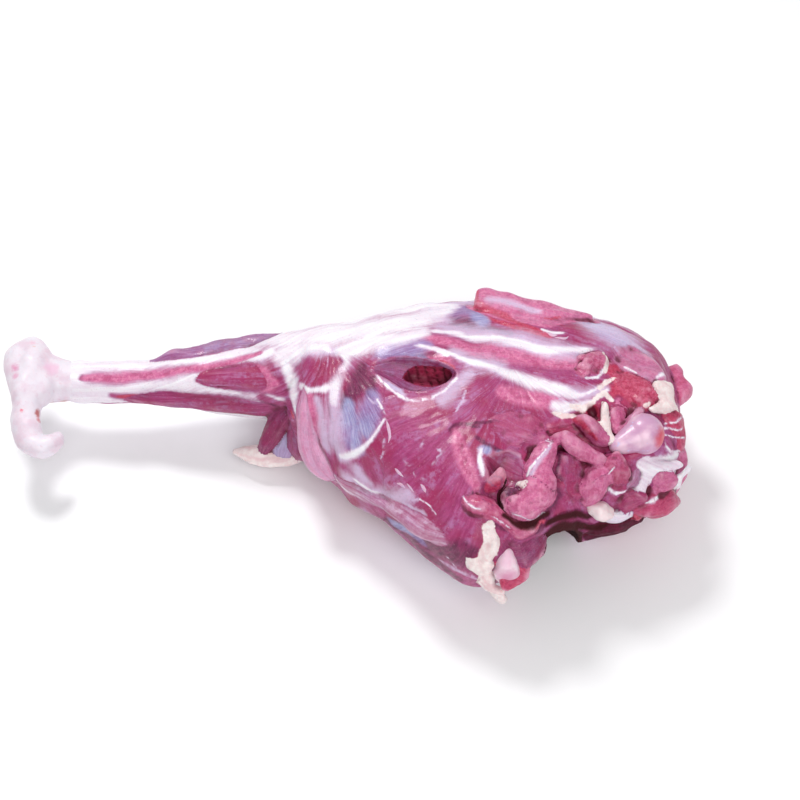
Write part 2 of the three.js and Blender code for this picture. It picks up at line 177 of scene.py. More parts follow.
# %% [markdown]
# ## The rows
#
# Lengths are in millimetres. x runs from the hock to the cut end, y away from the front and z up.

# %% The thigh and the shank
THIGH = [
    [-38, 38, 50, 16, 18, 18],
    [-21, 39, 50, 45, 36, 36],
    [5, 28, 50, 59, 44, 48],
    [36, 18, 51, 77, 50, 54],
    [79, 3, 52, 100, 51, 56],
    [106, 7, 51, 96, 50, 55],
    [141, 15, 50, 79, 49, 54],
    [172, 17, 48, 71, 46, 51],
    [196, 19, 44, 59, 40, 42],
    [213, 14, 41, 36, 28, 27],
]
SHANK = [
    [-193, 58, 39, 15, 14, 14],
    [-152, 56, 40, 13, 13, 13],
    [-126, 57, 41, 14, 14, 14],
    [-93, 58, 43, 20, 18, 17],
    [-60, 57, 46, 24, 23, 22],
    [-34, 55, 50, 27, 30, 30],
    [-10, 50, 51, 34, 37, 38],
    [24, 44, 52, 40, 41, 44],
]

# Muscles, fat and torn edges that stand out of the thigh and the shank.
FOLDS = {
    # the shank: muscle behind, muscle in front, the spindle above it and the heel tendon below
    "back_muscle": [[-130, 62, 50, 5, 4, 4], [-80, 66, 58, 9, 6, 7], [-35, 70, 68, 8, 5, 6]],
    "front_muscle": [[-146, 46, 39, 4, 4, 4], [-100, 43, 41, 8, 7, 7], [-55, 39, 43, 11, 8, 9],
        [-30, 36, 45, 8, 5, 6]],
    "shin_spindle": [[-94, 47, 56, 4, 3, 4], [-66, 43, 62, 8, 5, 6], [-44, 40, 64, 7, 3, 6]],
    "heel_tendon": [[-118, 46, 33, 2, 3, 3], [-75, 40, 31, 3, 4, 4], [-38, 36, 31, 4, 5, 5]],
    # the loose end of the flank beside the knee, with its fat
    "knee_flap_left": [[-32, 33, 47, 7, 6, 8], [-42, 25, 36, 8, 6, 7], [-50, 19, 23, 7, 5, 6],
        [-54, 17, 15, 4, 4, 4]],
    "knee_flap_right": [[-26, 32, 49, 7, 6, 8], [-26, 19, 36, 9, 6, 8], [-26, 13, 24, 9, 6, 8],
        [-28, 11, 16, 5, 4, 4]],
    "knee_web": [[-34, 28, 40, 8, 3, 8], [-38, 18, 26, 9, 3, 8], [-40, 13, 16, 8, 3, 6]],
    "knee_fat": [[-73, 20, 13, 3, 3, 4], [-56, 17, 14, 8, 5, 6], [-38, 17, 15, 9, 5, 7],
        [-20, 17, 19, 6, 5, 6]],
    "knee_column": [[-13, 30, 81, 9, 4, 10], [-14, 9, 72, 13, 6, 12], [-13, -8, 56, 13, 7, 12],
        [-5, -23, 42, 9, 6, 10]],
    "front_rim": [[-2, -22, 48, 6, 5, 8], [18, -37, 53, 7, 5, 8], [38, -56, 60, 8, 6, 8],
        [56, -73, 66, 9, 6, 8], [74, -80, 72, 7, 4, 8]],
    # the front of the cut end, from the long muscle down to the fat at the tip
    "long_muscle": [[72, -16, 93, 4, 3, 6], [83, -22, 95, 8, 4, 8], [95, -27, 95, 12, 5, 10],
        [108, -30, 94, 14, 6, 10], [120, -30, 92, 11, 5, 10], [128, -28, 90, 7, 4, 8]],
    "torn_lump": [[69, -22, 92, 6, 3, 8], [70, -30, 92, 10, 5, 9], [72, -40, 91, 13, 6, 9],
        [75, -49, 89, 13, 6, 9], [79, -58, 86, 9, 6, 8]],
    "curl": [[127, -35, 95, 5, 5, 8], [121, -42, 95, 8, 7, 8], [118, -51, 93, 9, 8, 9],
        [119, -59, 89, 9.5, 9, 10], [116, -65, 86, 10, 10, 10], [108, -68, 84, 9, 9, 10],
        [101, -65, 83, 7, 7, 8], [98, -59, 86, 4, 4, 8]],
    "lip": [[71, -67, 89, 3, 2, 8], [77, -72, 89, 6, 4, 8], [85, -72, 87, 7, 5, 8], [92, -74, 83, 6, 5, 8],
        [99, -78, 79, 4, 4, 8], [110, -79, 75, 4, 4, 8], [117, -75, 74, 4, 4, 8]],
    "under_lobe": [[89, -83, 74, 7, 4, 9], [101, -84, 66, 12, 6, 12], [113, -77, 61, 10, 6, 12],
        [121, -70, 60, 5, 4, 10]],
    # the arch over the drape, the column of cut meat behind it and what hangs below them
    "arch": [[125, -35, 95, 4, 5, 8], [130, -32, 97, 4.5, 6, 8], [135, -35, 97, 5.5, 7, 8],
        [142, -38, 95, 5.5, 7, 8], [148, -39, 91, 5, 6, 8], [157, -39, 87, 4, 5, 8]],
    "column": [[133, -35, 90, 9, 3, 9], [134, -43, 86, 10, 4, 9], [133, -51, 79, 11, 4, 9],
        [130, -56, 70, 9, 4, 9]],
    "drape": [[147, -42, 86, 10, 3, 9], [150, -47, 83, 11, 6, 9], [149, -52, 78, 10, 7, 9],
        [147, -56, 71, 8, 6, 9], [146, -58, 66, 4, 4, 8]],
    "bottom_meat": [[140, -50, 44, 8, 7, 14], [154, -52, 42, 11, 8, 18], [170, -48, 40, 11, 8, 18],
        [188, -38, 38, 8, 6, 14]],
    # the end: round the hip ball and down to the surface
    "rib_meat": [[191, 0, 82, 6, 4, 10], [199, -3, 76, 9, 6, 10], [203, -9, 68, 7, 5, 10],
        [201, -17, 62, 6, 5, 10]],
    "right_rim": [[204, -6, 64, 5, 4, 12], [207, -15, 57, 6, 6, 12], [206, -25, 50, 7, 6, 12],
        [202, -35, 42, 7, 6, 12]],
    "lower_lump": [[175, -56, 57, 6, 4, 12], [186, -52, 56, 10, 7, 12], [194, -46, 53, 11, 7, 12],
        [204, -39, 47, 7, 5, 10]],
    "middle_lump": [[158, -33, 86, 5, 3, 8], [161, -41, 85, 7, 5, 9], [164, -46, 80, 8, 6, 9],
        [164, -51, 74, 7, 5, 9]],
    "end_lump": [[186, -44, 68, 6, 5, 10], [194, -39, 63, 8, 7, 10], [201, -32, 58, 4, 4, 8]],
    "drip": [[180, -51, 56, 4, 5, 8], [179, -55, 50, 4, 5, 8], [181, -56, 43, 2, 3, 6]],
    "short_tube": [[138, -13, 93, 3, 3, 8], [143, -17, 94, 5, 6, 8], [149, -22, 93, 5.5, 6, 8],
        [155, -26, 91, 5, 5, 8], [159, -29, 88, 3, 4, 6]],
    "grey_strap": [[175, -38, 76, 4, 2, 8], [174, -44, 72, 4.5, 3, 8], [171, -49, 68, 4, 3, 8]],
    "ball_strand": [[164, -25, 87, 2, 3, 5], [169, -20, 91, 3, 4, 6], [176, -12, 92, 3, 4, 6],
        [178, -2, 88, 3, 4, 6]],
    "lower_band": [[185, -50, 66, 4, 3, 9], [174, -53, 62, 5, 4, 9], [163, -56, 59, 5, 4, 9]],
}

# Flat scraps with an uneven edge, as points round the edge: fat, loose film and cut ends of meat.
PLATES = {
    "upper_fat": [[80, -80, 80], [82, -80, 81], [85, -81, 81], [88, -81, 82], [89, -83, 81], [89, -85, 78],
        [90, -88, 76], [89, -91, 72], [88, -93, 69], [87, -94, 67], [84, -93, 68], [81, -92, 67],
        [79, -89, 69], [80, -87, 72], [79, -85, 75], [80, -82, 78]],
    "lower_fat": [[80, -92, 66], [76, -92, 64], [76, -94, 62], [76, -96, 60], [77, -97, 59], [79, -97, 60],
        [80, -99, 58], [86, -100, 59], [87, -100, 60], [88, -97, 63], [90, -96, 65], [88, -95, 66],
        [84, -94, 65], [82, -92, 67]],
    "tip_fat": [[83, -94, 53], [86, -96, 57], [90, -98, 53], [92, -98, 50], [93, -99, 45], [96, -100, 43],
        [97, -101, 42], [97, -100, 35], [95, -99, 26], [93, -98, 26], [86, -95, 35], [82, -94, 39]],
    "tip_meat": [[93, -93, 66], [96, -90, 67], [101, -88, 67], [107, -85, 67], [110, -88, 62], [110, -92, 58],
        [109, -98, 53], [105, -103, 50], [99, -106, 50], [94, -106, 53], [91, -100, 60]],
    "end_fat": [[187, 11, 96], [192, 15, 95], [199, 17, 91], [202, 14, 87], [202, 8, 85], [204, 3, 82],
        [203, 1, 82], [201, 1, 84], [195, -3, 86], [190, -5, 89], [186, -5, 91], [183, -4, 93], [189, 1, 91],
        [192, 4, 90], [189, 9, 94]],
    "fat_strip": [[156, -6, 97], [158, -6, 97], [160, -11, 95], [161, -16, 94], [160, -18, 93],
        [161, -22, 92], [162, -26, 91], [160, -29, 91], [158, -30, 91], [156, -27, 92], [154, -21, 94],
        [153, -18, 95], [156, -17, 94], [155, -11, 96]],
    "end_tendon": [[174, -35, 78], [182, -31, 77], [191, -31, 74], [201, -29, 72], [206, -31, 69],
        [199, -34, 69], [192, -36, 70], [187, -40, 69], [184, -45, 66], [181, -50, 63], [176, -50, 65],
        [177, -44, 69], [179, -39, 72], [175, -37, 75]],
    "white_stripe": [[207, -28, 66], [211, -26, 61], [208, -30, 59], [205, -34, 58], [206, -35, 50],
        [203, -38, 51], [199, -40, 58], [198, -39, 65], [202, -35, 66]],
    "curl_fat": [[103, -58, 92], [107, -59, 93], [111, -61, 94], [112, -63, 93], [109, -64, 92],
        [106, -62, 91], [103, -61, 91]],
    "valley_ridge": [[84, -62, 88], [87, -60, 93], [91, -58, 97], [95, -55, 101], [97, -55, 94],
        [98, -56, 85], [95, -58, 81], [89, -61, 81]],
    "blue_tendon": [[157, -59, 56], [164, -58, 58], [170, -56, 58], [176, -55, 57], [176, -56, 51],
        [169, -57, 49], [162, -59, 50], [157, -59, 51]],
    "tongue": [[83, 87, 89], [85, 94, 88], [92, 95, 87], [106, 91, 87], [122, 87, 86], [139, 83, 86],
        [157, 76, 85], [158, 71, 86], [144, 68, 88], [135, 60, 89], [129, 53, 91], [122, 54, 91],
        [112, 59, 91], [101, 63, 92], [91, 70, 91], [85, 78, 91]],
    "torn_top": [[145, 29, 100], [151, 33, 99], [158, 35, 97], [163, 33, 95], [166, 29, 94], [160, 24, 95],
        [157, 19, 95], [151, 18, 97], [146, 13, 97], [143, 18, 99], [146, 23, 99]],
    "torn_hump": [[167, 41, 88], [179, 44, 87], [189, 36, 87], [196, 24, 88], [197, 16, 89], [191, 12, 90],
        [182, 17, 90], [172, 24, 90], [165, 33, 89]],
    "torn_middle": [[165, 17, 93], [171, 21, 92], [180, 20, 91], [188, 12, 90], [191, 5, 89], [185, 0, 90],
        [178, -4, 91], [172, -1, 92], [168, 6, 93]],
    "torn_low": [[164, 5, 91], [170, 3, 88], [173, -3, 86], [168, -15, 88], [163, -21, 90], [161, -10, 92]],
    "side_tab": [[202, 45, 62], [209, 51, 62], [212, 53, 62], [215, 48, 62], [216, 41, 62], [219, 33, 62],
        [217, 27, 62], [212, 20, 62], [209, 24, 62], [200, 28, 62]],
}
# half of a plate's thickness, where it isn't the usual one
USUAL_THICKNESS = 2.5
PLATE_THICKNESS = {"tongue": 5, "torn_top": 3.5, "torn_hump": 5, "torn_middle": 5, "torn_low": 4, "side_tab": 5,
                   "tip_meat": 3, "end_fat": 3, "tip_fat": 3, "valley_ridge": 2.5, "end_tendon": 2.8}

# Hollows that the folds stand in: the dished cut end, the valley between the folds and the undercut.
HOLLOWS = {
    "dish": [[104, -40, 104, 20, 12, 12], [135, -40, 101, 26, 14, 14], [168, -24, 98, 24, 14, 14],
        [192, -14, 94, 16, 14, 14]],
    "valley": [[85, -47, 103, 5, 8, 10], [93, -52, 103, 12, 12, 14], [104, -56, 100, 13, 12, 13],
        [112, -58, 96, 8, 8, 9]],
    "undercut": [[114, -112, 4, 12, 52, 20], [119, -86, 4, 19, 62, 20], [127, -62, 4, 19, 50, 20],
        [128, -42, 4, 16, 30, 20], [128, -26, 2, 9, 12, 10]],
    "low_valley": [[83, -63, 98, 5, 8, 8], [91, -67, 97, 9, 9, 12], [99, -71, 91, 7, 8, 10]],
}

# Narrow gaps cut after the folds: the pocket between the muscles, the crevice behind the curl, a bone's pit.
GAPS = {
    "pocket": [[19, 21, 98, 5, 4, 4], [31, 19, 99, 9, 8, 6], [45, 14, 100, 12, 9, 8], [58, 13, 101, 9, 9, 8],
        [70, 14, 101, 4, 5, 5]],
    "slit": [[37, 16, 95, 2, 6, 6], [45, 18, 94, 4, 8, 8], [54, 17, 94, 5, 9, 9], [63, 17, 95, 4, 8, 8],
        [69, 16, 97, 2, 6, 6]],
    "crevice": [[98, -54, 94, 1, 3, 5], [97, -60, 91, 1.4, 4, 6], [94, -65, 89, 1.6, 4, 6],
        [96, -72, 86, 1.4, 4, 6], [99, -74, 82, 1, 3, 5]],
    "curl_pocket": [[100, -61, 97, 3, 5, 5], [101, -65, 93, 4, 5, 6], [104, -67, 90, 2, 4, 5]],
    "pit": [[150, -10, 101, 2.2, 3.5, 4], [151, -11, 95, 3, 4, 5], [153, -11, 89, 2, 3, 4]],
}
print("forms:", len(FOLDS), "folds,", len(PLATES), "plates,", len(HOLLOWS) + len(GAPS), "hollows and gaps")

# %% A plate from the points round its edge


def closed_curve(outline, count):
    """count points evenly round a smooth closed curve through the outline's points, each span a cubic
    that leaves a point in the direction from the one before it to the one after."""
    outline = np.asarray(outline, float)
    t = np.arange(count) / count * len(outline)
    i = t.astype(int)
    u = (t - i)[:, None]
    before, here, ahead, after = (outline[(i + k) % len(outline)] for k in (-1, 0, 1, 2))
    slope, next_slope = 0.4 * (ahead - before), 0.4 * (after - here)
    return ((2 * u**3 - 3 * u**2 + 1) * here + (u**3 - 2 * u**2 + u) * slope
            + (3 * u**2 - 2 * u**3) * ahead + (u**3 - u**2) * next_slope)


def plate_frame(outline, sides):
    """The rim, the middle and the outward normal of a plate, the normal from its best flat fit."""
    rim = closed_curve(outline, sides)
    middle = rim.mean(0)
    normal = np.linalg.svd(rim - middle)[2][2]
    if normal @ (0, -0.4, 0.9) < 0:
        normal = -normal
    if np.cross(rim - middle, np.roll(rim, -1, 0) - middle).sum(0) @ normal < 0:
        rim = rim[::-1]
    return rim, middle, normal


def plate(outline, thickness, rings=12, sides=64, square=2.5):
    """A closed slab: at angle a round the middle and b from the lower face to the upper one, the point is
    middle + (rim(a) - middle) * cos(b)^(2/square) + normal * thickness * sin(b)^(2/square)."""
    rim, middle, normal = plate_frame(outline, sides)
    b = (np.arange(1, rings) / rings - 0.5) * np.pi
    wide = np.cos(b) ** (2 / square)
    high = np.sign(np.sin(b)) * np.abs(np.sin(b)) ** (2 / square) * thickness
    grid = middle + wide[:, None, None] * (rim - middle) + high[:, None, None] * normal
    vertices = np.vstack([[middle - normal * thickness], grid.reshape(-1, 3), [middle + normal * thickness]])
    return vertices, [face[::-1] for face in closed_faces(rings, sides)]


# %% [markdown]
# ## One skin
#
# A real leg has one surface: muscles press against each other and the gaps close. Joining the lofts with
# booleans keeps their creases, and a voxel remesh then turns the joined mesh into one even skin, fine
# enough to carry wrinkles.

# %% Join, cut and remesh
SKIN_VOXEL = 0.9 * MM


def loft_objects(forms, **options):
    """One object for each named loft."""
    return [make_object("form_" + name, *loft(rows, **options)) for name, rows in forms.items()]


def boolean(target, other, operation):
    """Joins the other object to the target, or cuts it away, once the target's modifiers are applied."""
    modifier = target.modifiers.new(other.name, "BOOLEAN")
    modifier.operation = operation
    modifier.solver = "MANIFOLD"
    modifier.object = other


def applied(obj, helpers=()):
    """The object with its modifiers applied, and the helper objects removed."""
    mesh = bpy.data.meshes.new_from_object(obj.evaluated_get(bpy.context.evaluated_depsgraph_get()))
    obj.modifiers.clear()
    obj.data = mesh
    for helper in helpers:
        bpy.data.objects.remove(helper)
    return obj


def remeshed(obj, voxel):
    """One even closed skin of small quads over the object."""
    obj.data.materials.clear()
    modifier = obj.modifiers.new("even skin", "REMESH")
    modifier.mode = "VOXEL"
    modifier.voxel_size = voxel
    modifier.use_smooth_shade = True
    return applied(obj)


def make_meat():
    """The thigh and the shank, less the hollows, with the folds and plates, less the gaps, as one skin."""
    upright = {"upright": True, "outward": (0, 0, 1)}
    meat = make_object("lamb_meat", *loft(THIGH, rings=110, sides=150, blunt=14, square=2.3, **upright))
    shank = make_object("form_shank", *loft(SHANK, rings=70, sides=64, blunt=12, **upright))
    hollows = loft_objects(HOLLOWS, square=2.5)
    folds = loft_objects(FOLDS)
    for name, rim in PLATES.items():
        half = PLATE_THICKNESS.get(name, USUAL_THICKNESS)
        folds.append(make_object("form_" + name, *plate(rim, half)))
    gaps = loft_objects(GAPS)
    boolean(meat, shank, "UNION")
    for hollow in hollows:
        boolean(meat, hollow, "DIFFERENCE")
    for fold in folds:
        boolean(meat, fold, "UNION")
    for gap in gaps:
        boolean(meat, gap, "DIFFERENCE")
    applied(meat, [shank, *hollows, *folds, *gaps])
    print("joined:", len(meat.data.vertices), "vertices")
    return remeshed(meat, SKIN_VOXEL)


meat = make_meat()
print("skin:", len(meat.data.vertices), "vertices")

# %% [markdown]
# ## Along and round the leg
#
# A cook says that a band runs along the top, or round the front. So every mark on the meat is placed by two
# numbers: how far along the leg it is, and its turn round the leg's middle line. The turn is 0 degrees at
# the back, 90 on top and 180 at the front.

# %% The middle line and the turn round it
# along, middle across, middle up, half width, half height
LEG_AXIS = [
    [-181, 58, 39, 15, 14],
    [-126, 57, 41, 14, 14],
    [-93, 58, 43, 20, 18],
    [-60, 57, 46, 24, 23],
    [-38, 50, 49, 30, 30],
    [-21, 40, 50, 45, 37],
    [5, 28, 50, 59, 46],
    [36, 18, 50, 77, 52],
    [79, 3, 50, 100, 53],
    [106, 7, 49, 96, 52],
    [141, 15, 48, 79, 51],
    [172, 17, 46, 71, 48],
    [196, 19, 44, 59, 41],
    [213, 14, 41, 36, 28],
]


def leg_axis(x):
    """The middle line across and up, and the half width and half height, at each x."""
    axis = np.array(LEG_AXIS, float)
    return [np.interp(x, axis[:, 0], axis[:, k]) for k in range(1, 5)]


def around(points):
    """The turn of each point round the leg in degrees, from -90 below to 270, and the leg's mean radius
    there."""
    y, z, width, height = leg_axis(points[:, 0])
    turn = np.degrees(np.arctan2((points[:, 2] - z) / height, (points[:, 1] - y) / width))
    return np.where(turn < -90, turn + 360, turn), (width + height) / 2


def smoothstep(low, high, value):
    """3w^2 - 2w^3, with w from 0 at low to 1 at high."""
    w = np.clip((value - low) / (high - low), 0, 1)
    return w * w * (3 - 2 * w)


# %% [markdown]
# ## What lies where
#
# Under the thumb the leg isn't one red thing. White fascia wraps the muscles, thin blue membranes let the
# dark meat show through, cream fat sits in the folds, and where the hip was cut away the flesh is torn and
# grainy. Each of these is an amount at each point of the skin, and so is painted shade: near black in the
# undercut and the crevices, and dark in the creases where one fold lies over another. Bands are strokes:
# chains of (along, turn, half width in millimetres).

# %% Strokes of tissue
STROKES = {
    "fascia": [
        # the broad sheet over the knee and along the back
        [(-72, 73, 3.1), (-57, 64, 5.6), (-33, 69, 11), (-8, 64, 14), (17, 62, 14), (36, 59, 12),
            (52, 53, 9.8), (66, 48, 4.5)],
        [(-38, 96, 6), (-27, 82, 5.9), (-10, 79, 4.4)],
        [(2, 80, 6.6), (19, 74, 7.9), (33, 72, 5.6), (51, 66, 4)],
        # white bands on top of the thigh
        [(56, 65, 1.6), (74, 65, 2.3), (91, 67, 3.1), (110, 71, 2.8), (127, 76, 2.8), (153, 75, 2)],
        [(56, 75, 1.1), (68, 78, 1.4), (81, 80, 2.1), (94, 83, 2.1), (108, 88, 3.5), (123, 94, 3.4),
            (137, 100, 3.2), (142, 101, 1.9)],
        [(48, 75, 1.4), (57, 76, 1.4), (65, 79, 1)],
        # between the muscles that fan out from the knee
        [(2, 83, 5.7), (-2, 96, 4.2), (-4, 109, 3.3), (-4, 122, 2.6)],
        [(-35, 101, 4.5), (-33, 114, 3.9), (-32, 131, 3.3), (-31, 143, 2.6), (-28, 149, 1.6),
            (-24, 157, 1.2), (-20, 168, 1.3)],
        [(-26, 122, 2.5), (-18, 119, 1.4), (-10, 115, 2), (-5, 109, 2.6)],
        # the rim of the pocket and the edge of the film below it
        [(20, 93, 0.68), (24, 99, 0.79), (29, 103, 0.96), (36, 105, 0.94), (43, 105, 0.66), (53, 101, 0.66),
            (63, 95, 0.64), (70, 88, 0.94)],
        [(27, 120, 0.64), (23, 128, 0.75), (19, 134, 0.93), (13, 142, 1.3), (6, 151, 2.1), (2, 155, 2.2)],
        [(22, 110, 0.64), (25, 114, 0.63), (27, 117, 0.51)],
        # the front edge
        [(-20, 169, 1.3), (-14, 175, 2), (-6, 185, 2.8), (4, 186, 4.3), (15, 181, 3.4), (27, 171, 2.5)],
        [(9, 169, 1.2), (18, 169, 1.6), (29, 167, 2.4), (37, 162, 1.3)],
        # the tendons of the shank
        [(-188, 106, 8.6), (-171, 79, 5.8), (-158, 83, 3.8), (-138, 77, 2.4), (-115, 89, 2.2),
            (-92, 94, 2.2), (-66, 78, 2.2), (-52, 70, 3.6)],
        [(-187, 149, 11), (-170, 158, 6.1), (-157, 163, 5.8), (-140, 144, 3.2), (-118, 146, 2.6),
            (-98, 150, 2.7), (-82, 152, 2.7), (-66, 157, 2)],
        [(-95, 124, 1.9), (-75, 117, 3.6), (-59, 103, 3.5), (-46, 91, 4.4)],
        [(-139, 192, 1.1), (-118, 186, 1.4), (-74, 216, 2.2), (-48, 194, 1.5)],
        [(-47, 153, 2.8), (-41, 159, 3.8)],
        # rims and scraps in the cut end
        [(83, 116, 0.93), (82, 119, 1.2), (83, 122, 1.5), (84, 125, 1.2)],
        [(127, 104, 2.5), (134, 108, 4.4), (143, 107, 3.8), (151, 105, 1.9)],
        [(130, 110, 1.9), (138, 113, 1.8)],
        [(188, 138, 2), (196, 140, 2.7), (203, 140, 2)],
        [(180, 148, 2.4), (180, 154, 1.9)],
        [(209, 153, 1.4), (201, 149, 2.2), (202, 161, 2.6)],
        [(157, 149, 0.83), (164, 154, 0.98), (169, 154, 1.1)],
        [(195, 117, 0.49), (201, 114, 0.5), (206, 109, 0.64)],
        [(193, 120, 0.67), (201, 119, 0.49), (206, 118, 0.56)],
        [(194, 131, 0.65), (197, 135, 0.67)],
        [(156, 102, 0.99), (160, 98, 1)],
        [(164, 90, 0.7), (170, 95, 0.97)],
        [(175, 82, 0.67), (180, 86, 0.63)],
        [(29, 171, 0.5), (37, 168, 0.65), (43, 167, 0.5)],
        [(48, 149, 0.39), (53, 148, 0.61), (57, 150, 0.39)],
        [(63, 174, 0.41), (68, 177, 0.58), (72, 179, 0.4)],
        # on the back and the underside
        [(-60, 40, 4), (-30, 45, 10), (-5, 38, 15), (22, 36, 17), (48, 40, 12), (68, 44, 6)],
        [(10, -5, 4), (45, -8, 5), (85, 0, 4), (125, 8, 3)],
        [(0, -50, 3), (35, -60, 4), (75, -58, 4), (120, -50, 3)],
        [(-110, 20, 2), (-80, 10, 3), (-50, 0, 4), (-20, -20, 5), (10, -30, 3)],
        [(110, 30, 1.5), (140, 25, 2), (170, 28, 2), (190, 32, 1)],
        [(40, 215, 3), (75, 225, 4), (110, 235, 3)],
    ],
    "film": [
        # thin white film, half see-through
        [(-3, 116, 4.6), (-4, 130, 6), (-3, 146, 6.5), (2, 156, 4.4)],
        [(-14, 124, 2.5), (-11, 138, 3.5), (-9, 157, 3.8)],
        [(-25, 84, 4.4), (-13, 85, 3.9), (-1, 80, 2.9)],
        [(61, 61, 6.1), (85, 63, 6.2), (110, 69, 6.5), (134, 76, 6.5), (158, 78, 5.2)],
        [(69, 76, 4), (84, 80, 5.9), (96, 82, 5.6)],
        [(78, 84, 3.3), (69, 92, 4.1), (60, 100, 4)],
        [(146, 50, 4.2), (161, 56, 12), (176, 62, 11), (185, 69, 5.9)],
        [(54, 50, 8), (65, 56, 5.1)],
        [(6, 173, 5.9), (19, 170, 6.6), (33, 162, 6.3), (41, 150, 3.9)],
        [],
        [(10, 160, 4.3), (16, 163, 4)],
        [(-51, 106, 4.8), (-47, 123, 4), (-45, 138, 3.3)],
        [(24, 92, 2.9), (30, 100, 2.8), (37, 103, 1.8)],
        [(131, 98, 3.2), (147, 101, 3.7), (159, 97, 2.8)],
        [(-120, 53, 2.7), (-93, 67, 2.4), (-67, 60, 2.4)],
        [(26, 172, 2.5), (42, 164, 2.5), (58, 163, 2)],
        [(34, 161, 1.4), (51, 155, 1.3)],
        [(60, 185, 1.7), (72, 178, 2), (83, 181, 1.3)],
        [(27, 130, 0.5), (27, 136, 0.5), (25, 141, 0.4)],
        [(76, 92, 0.5), (73, 97, 0.65), (69, 103, 0.42)],
        [(52, 118, 0.39), (49, 123, 0.49), (47, 130, 0.36)],
        [(58, 122, 0.5), (60, 122, 0.51)],
        [(97, 102, 0.51), (104, 104, 0.68), (111, 107, 0.5)],
        [(17, 111, 0.46), (20, 113, 0.65), (23, 113, 0.38)],
        [(131, 102, 0.52), (135, 104, 0.8), (140, 104, 0.52)],
        [(43, 138, 0.43), (46, 139, 0.64), (50, 138, 0.43)],
        [(38, 135, 0.36), (42, 136, 0.49)],
        [(55, 129, 0.38), (59, 124, 0.49), (63, 120, 0.37)],
        [(37, 154, 0.45), (43, 153, 0.58), (48, 149, 0.39)],
        # on the back and the underside
        [(-20, 5, 10), (10, 0, 14), (45, -4, 13), (85, 2, 10), (125, 10, 7), (165, 17, 5)],
        [(-10, -45, 10), (35, -58, 12), (75, -56, 11), (120, -50, 8), (160, -46, 6)],
        [(60, 36, 9), (100, 34, 8), (140, 27, 8), (175, 30, 8)],
        [(20, 215, 10), (60, 222, 12), (110, 232, 10), (150, 225, 8)],
    ],
    "membrane": [
        # blue films
        [(26, 82, 4.6), (36, 78, 6.2), (46, 75, 5.7), (53, 74, 2.9)],
        [(6, 119, 3.2), (6, 132, 6.4), (8, 141, 5.7)],
        [(20, 110, 3.9), (19, 119, 5.8), (15, 129, 5.6)],
        [(59, 46, 4.5), (71, 47, 7.1), (81, 48, 7.1), (88, 57, 3.7)],
        [(155, 48, 6.2), (164, 58, 7.1), (174, 63, 5.7)],
        [(26, 88, 3.1), (35, 87, 4.3), (43, 82, 3.2), (51, 82, 1.9)],
        [(30, 100, 2.8), (35, 101, 2.1)],
        [(-73, 57, 2.7)],
        [(30, 191, 2.6), (39, 185, 3.4), (48, 182, 3.3)],
        [(83, 116, 1.9), (87, 117, 1.9)],
        [(93, 120, 3.2), (106, 123, 3.1)],
        [(105, 159, 1.8), (114, 162, 1.3)],
    ],
    "dark_and_shade": [
        # dark muscle under the films
        [(13, 91, 3.6), (12, 101, 7.7), (8, 110, 5.7), (3, 119, 3.2), (1, 126, 1.3)],
        [(19, 99, 3.4), (18, 108, 3.9)],
        [(41, 86, 2.8), (51, 82, 4.3), (63, 79, 2.5)],
        [(27, 197, 3.9), (42, 186, 8.5), (59, 171, 11), (76, 164, 7.9), (88, 176, 5)],
        [(59, 171, 5.8), (73, 158, 5.5), (82, 158, 3)],
        [(-132, 176, 2.6), (-112, 171, 3.9), (-92, 172, 5.2), (-73, 177, 5.8), (-53, 180, 5.4),
            (-44, 181, 3.5)],
        [(68, 56, 4.5), (80, 58, 4.5), (92, 62, 3.2), (104, 65, 2.5)],
        # creases: painted shade where one fold lies over another
        [(66, 113, 0.63), (68, 109, 0.94), (72, 107, 0.94), (77, 106, 1), (83, 107, 0.64)],
        [(81, 111, 1.3), (87, 115, 1.6), (97, 118, 1.2), (106, 120, 1.2), (110, 123, 1.2)],
        [(78, 132, 1.2), (83, 133, 1.3)],
        [(70, 114, 0.5), (74, 113, 0.5)],
        [(87, 144, 1.7), (96, 148, 1.9), (108, 149, 1.2)],
    ],
    "pink": [
        # paler muscle
        [(-20, 124, 4.1), (-18, 139, 6), (-17, 155, 6.3), (-14, 166, 4.9)],
        [(51, 70, 2.8), (67, 71, 3.6), (85, 74, 5.5), (109, 77, 5.8), (133, 82, 5.7), (152, 87, 3.9)],
        [(-166, 119, 3.3), (-157, 120, 4), (-141, 116, 4.9), (-125, 110, 4.5), (-105, 111, 4.2),
            (-85, 107, 3.3), (-66, 97, 2.9), (-51, 92, 2.2)],
        [(-56, 115, 3.5), (-49, 121, 4.6)],
        [(54, 82, 3.3), (63, 81, 4.3)],
        [(96, 93, 4.1), (113, 98, 5.2), (131, 104, 4)],
        [(70, 112, 3.3), (71, 117, 4.9), (74, 122, 5.9), (77, 126, 4.6), (80, 129, 2.9)],
        [(-91, 133, 1.6), (-78, 135, 3.3), (-62, 140, 5.4), (-48, 140, 5.3)],
        [(-59, 113, 2.8), (-51, 120, 4.6), (-43, 132, 3.3)],
    ],
    "red": [
        # bare red flesh
        [(-146, 174, 1.5), (-135, 175, 2.7), (-125, 175, 2)],
        [(156, 84, 4.1), (169, 85, 5.6), (178, 91, 5.8), (185, 98, 3.8)],
        [(165, 99, 5), (175, 101, 5.5)],
        [(85, 48, 1.4), (90, 54, 1.7), (98, 57, 1.7), (107, 61, 1.9), (118, 65, 1.9), (128, 68, 1.6)],
        [(178, 158, 2.4), (188, 160, 3.2)],
        [(-31, 158, 1.8), (-31, 161, 1.8)],
        [(60, 82, 1.5), (68, 84, 1.4)],
    ],
    "torn": [
        # the torn flap beside the valley
        [(71, 114, 2.5), (73, 119, 3.8), (76, 124, 3.6), (79, 127, 2.3)],
    ],
    "bare": [
        # muscle seen between the tendons of the shank
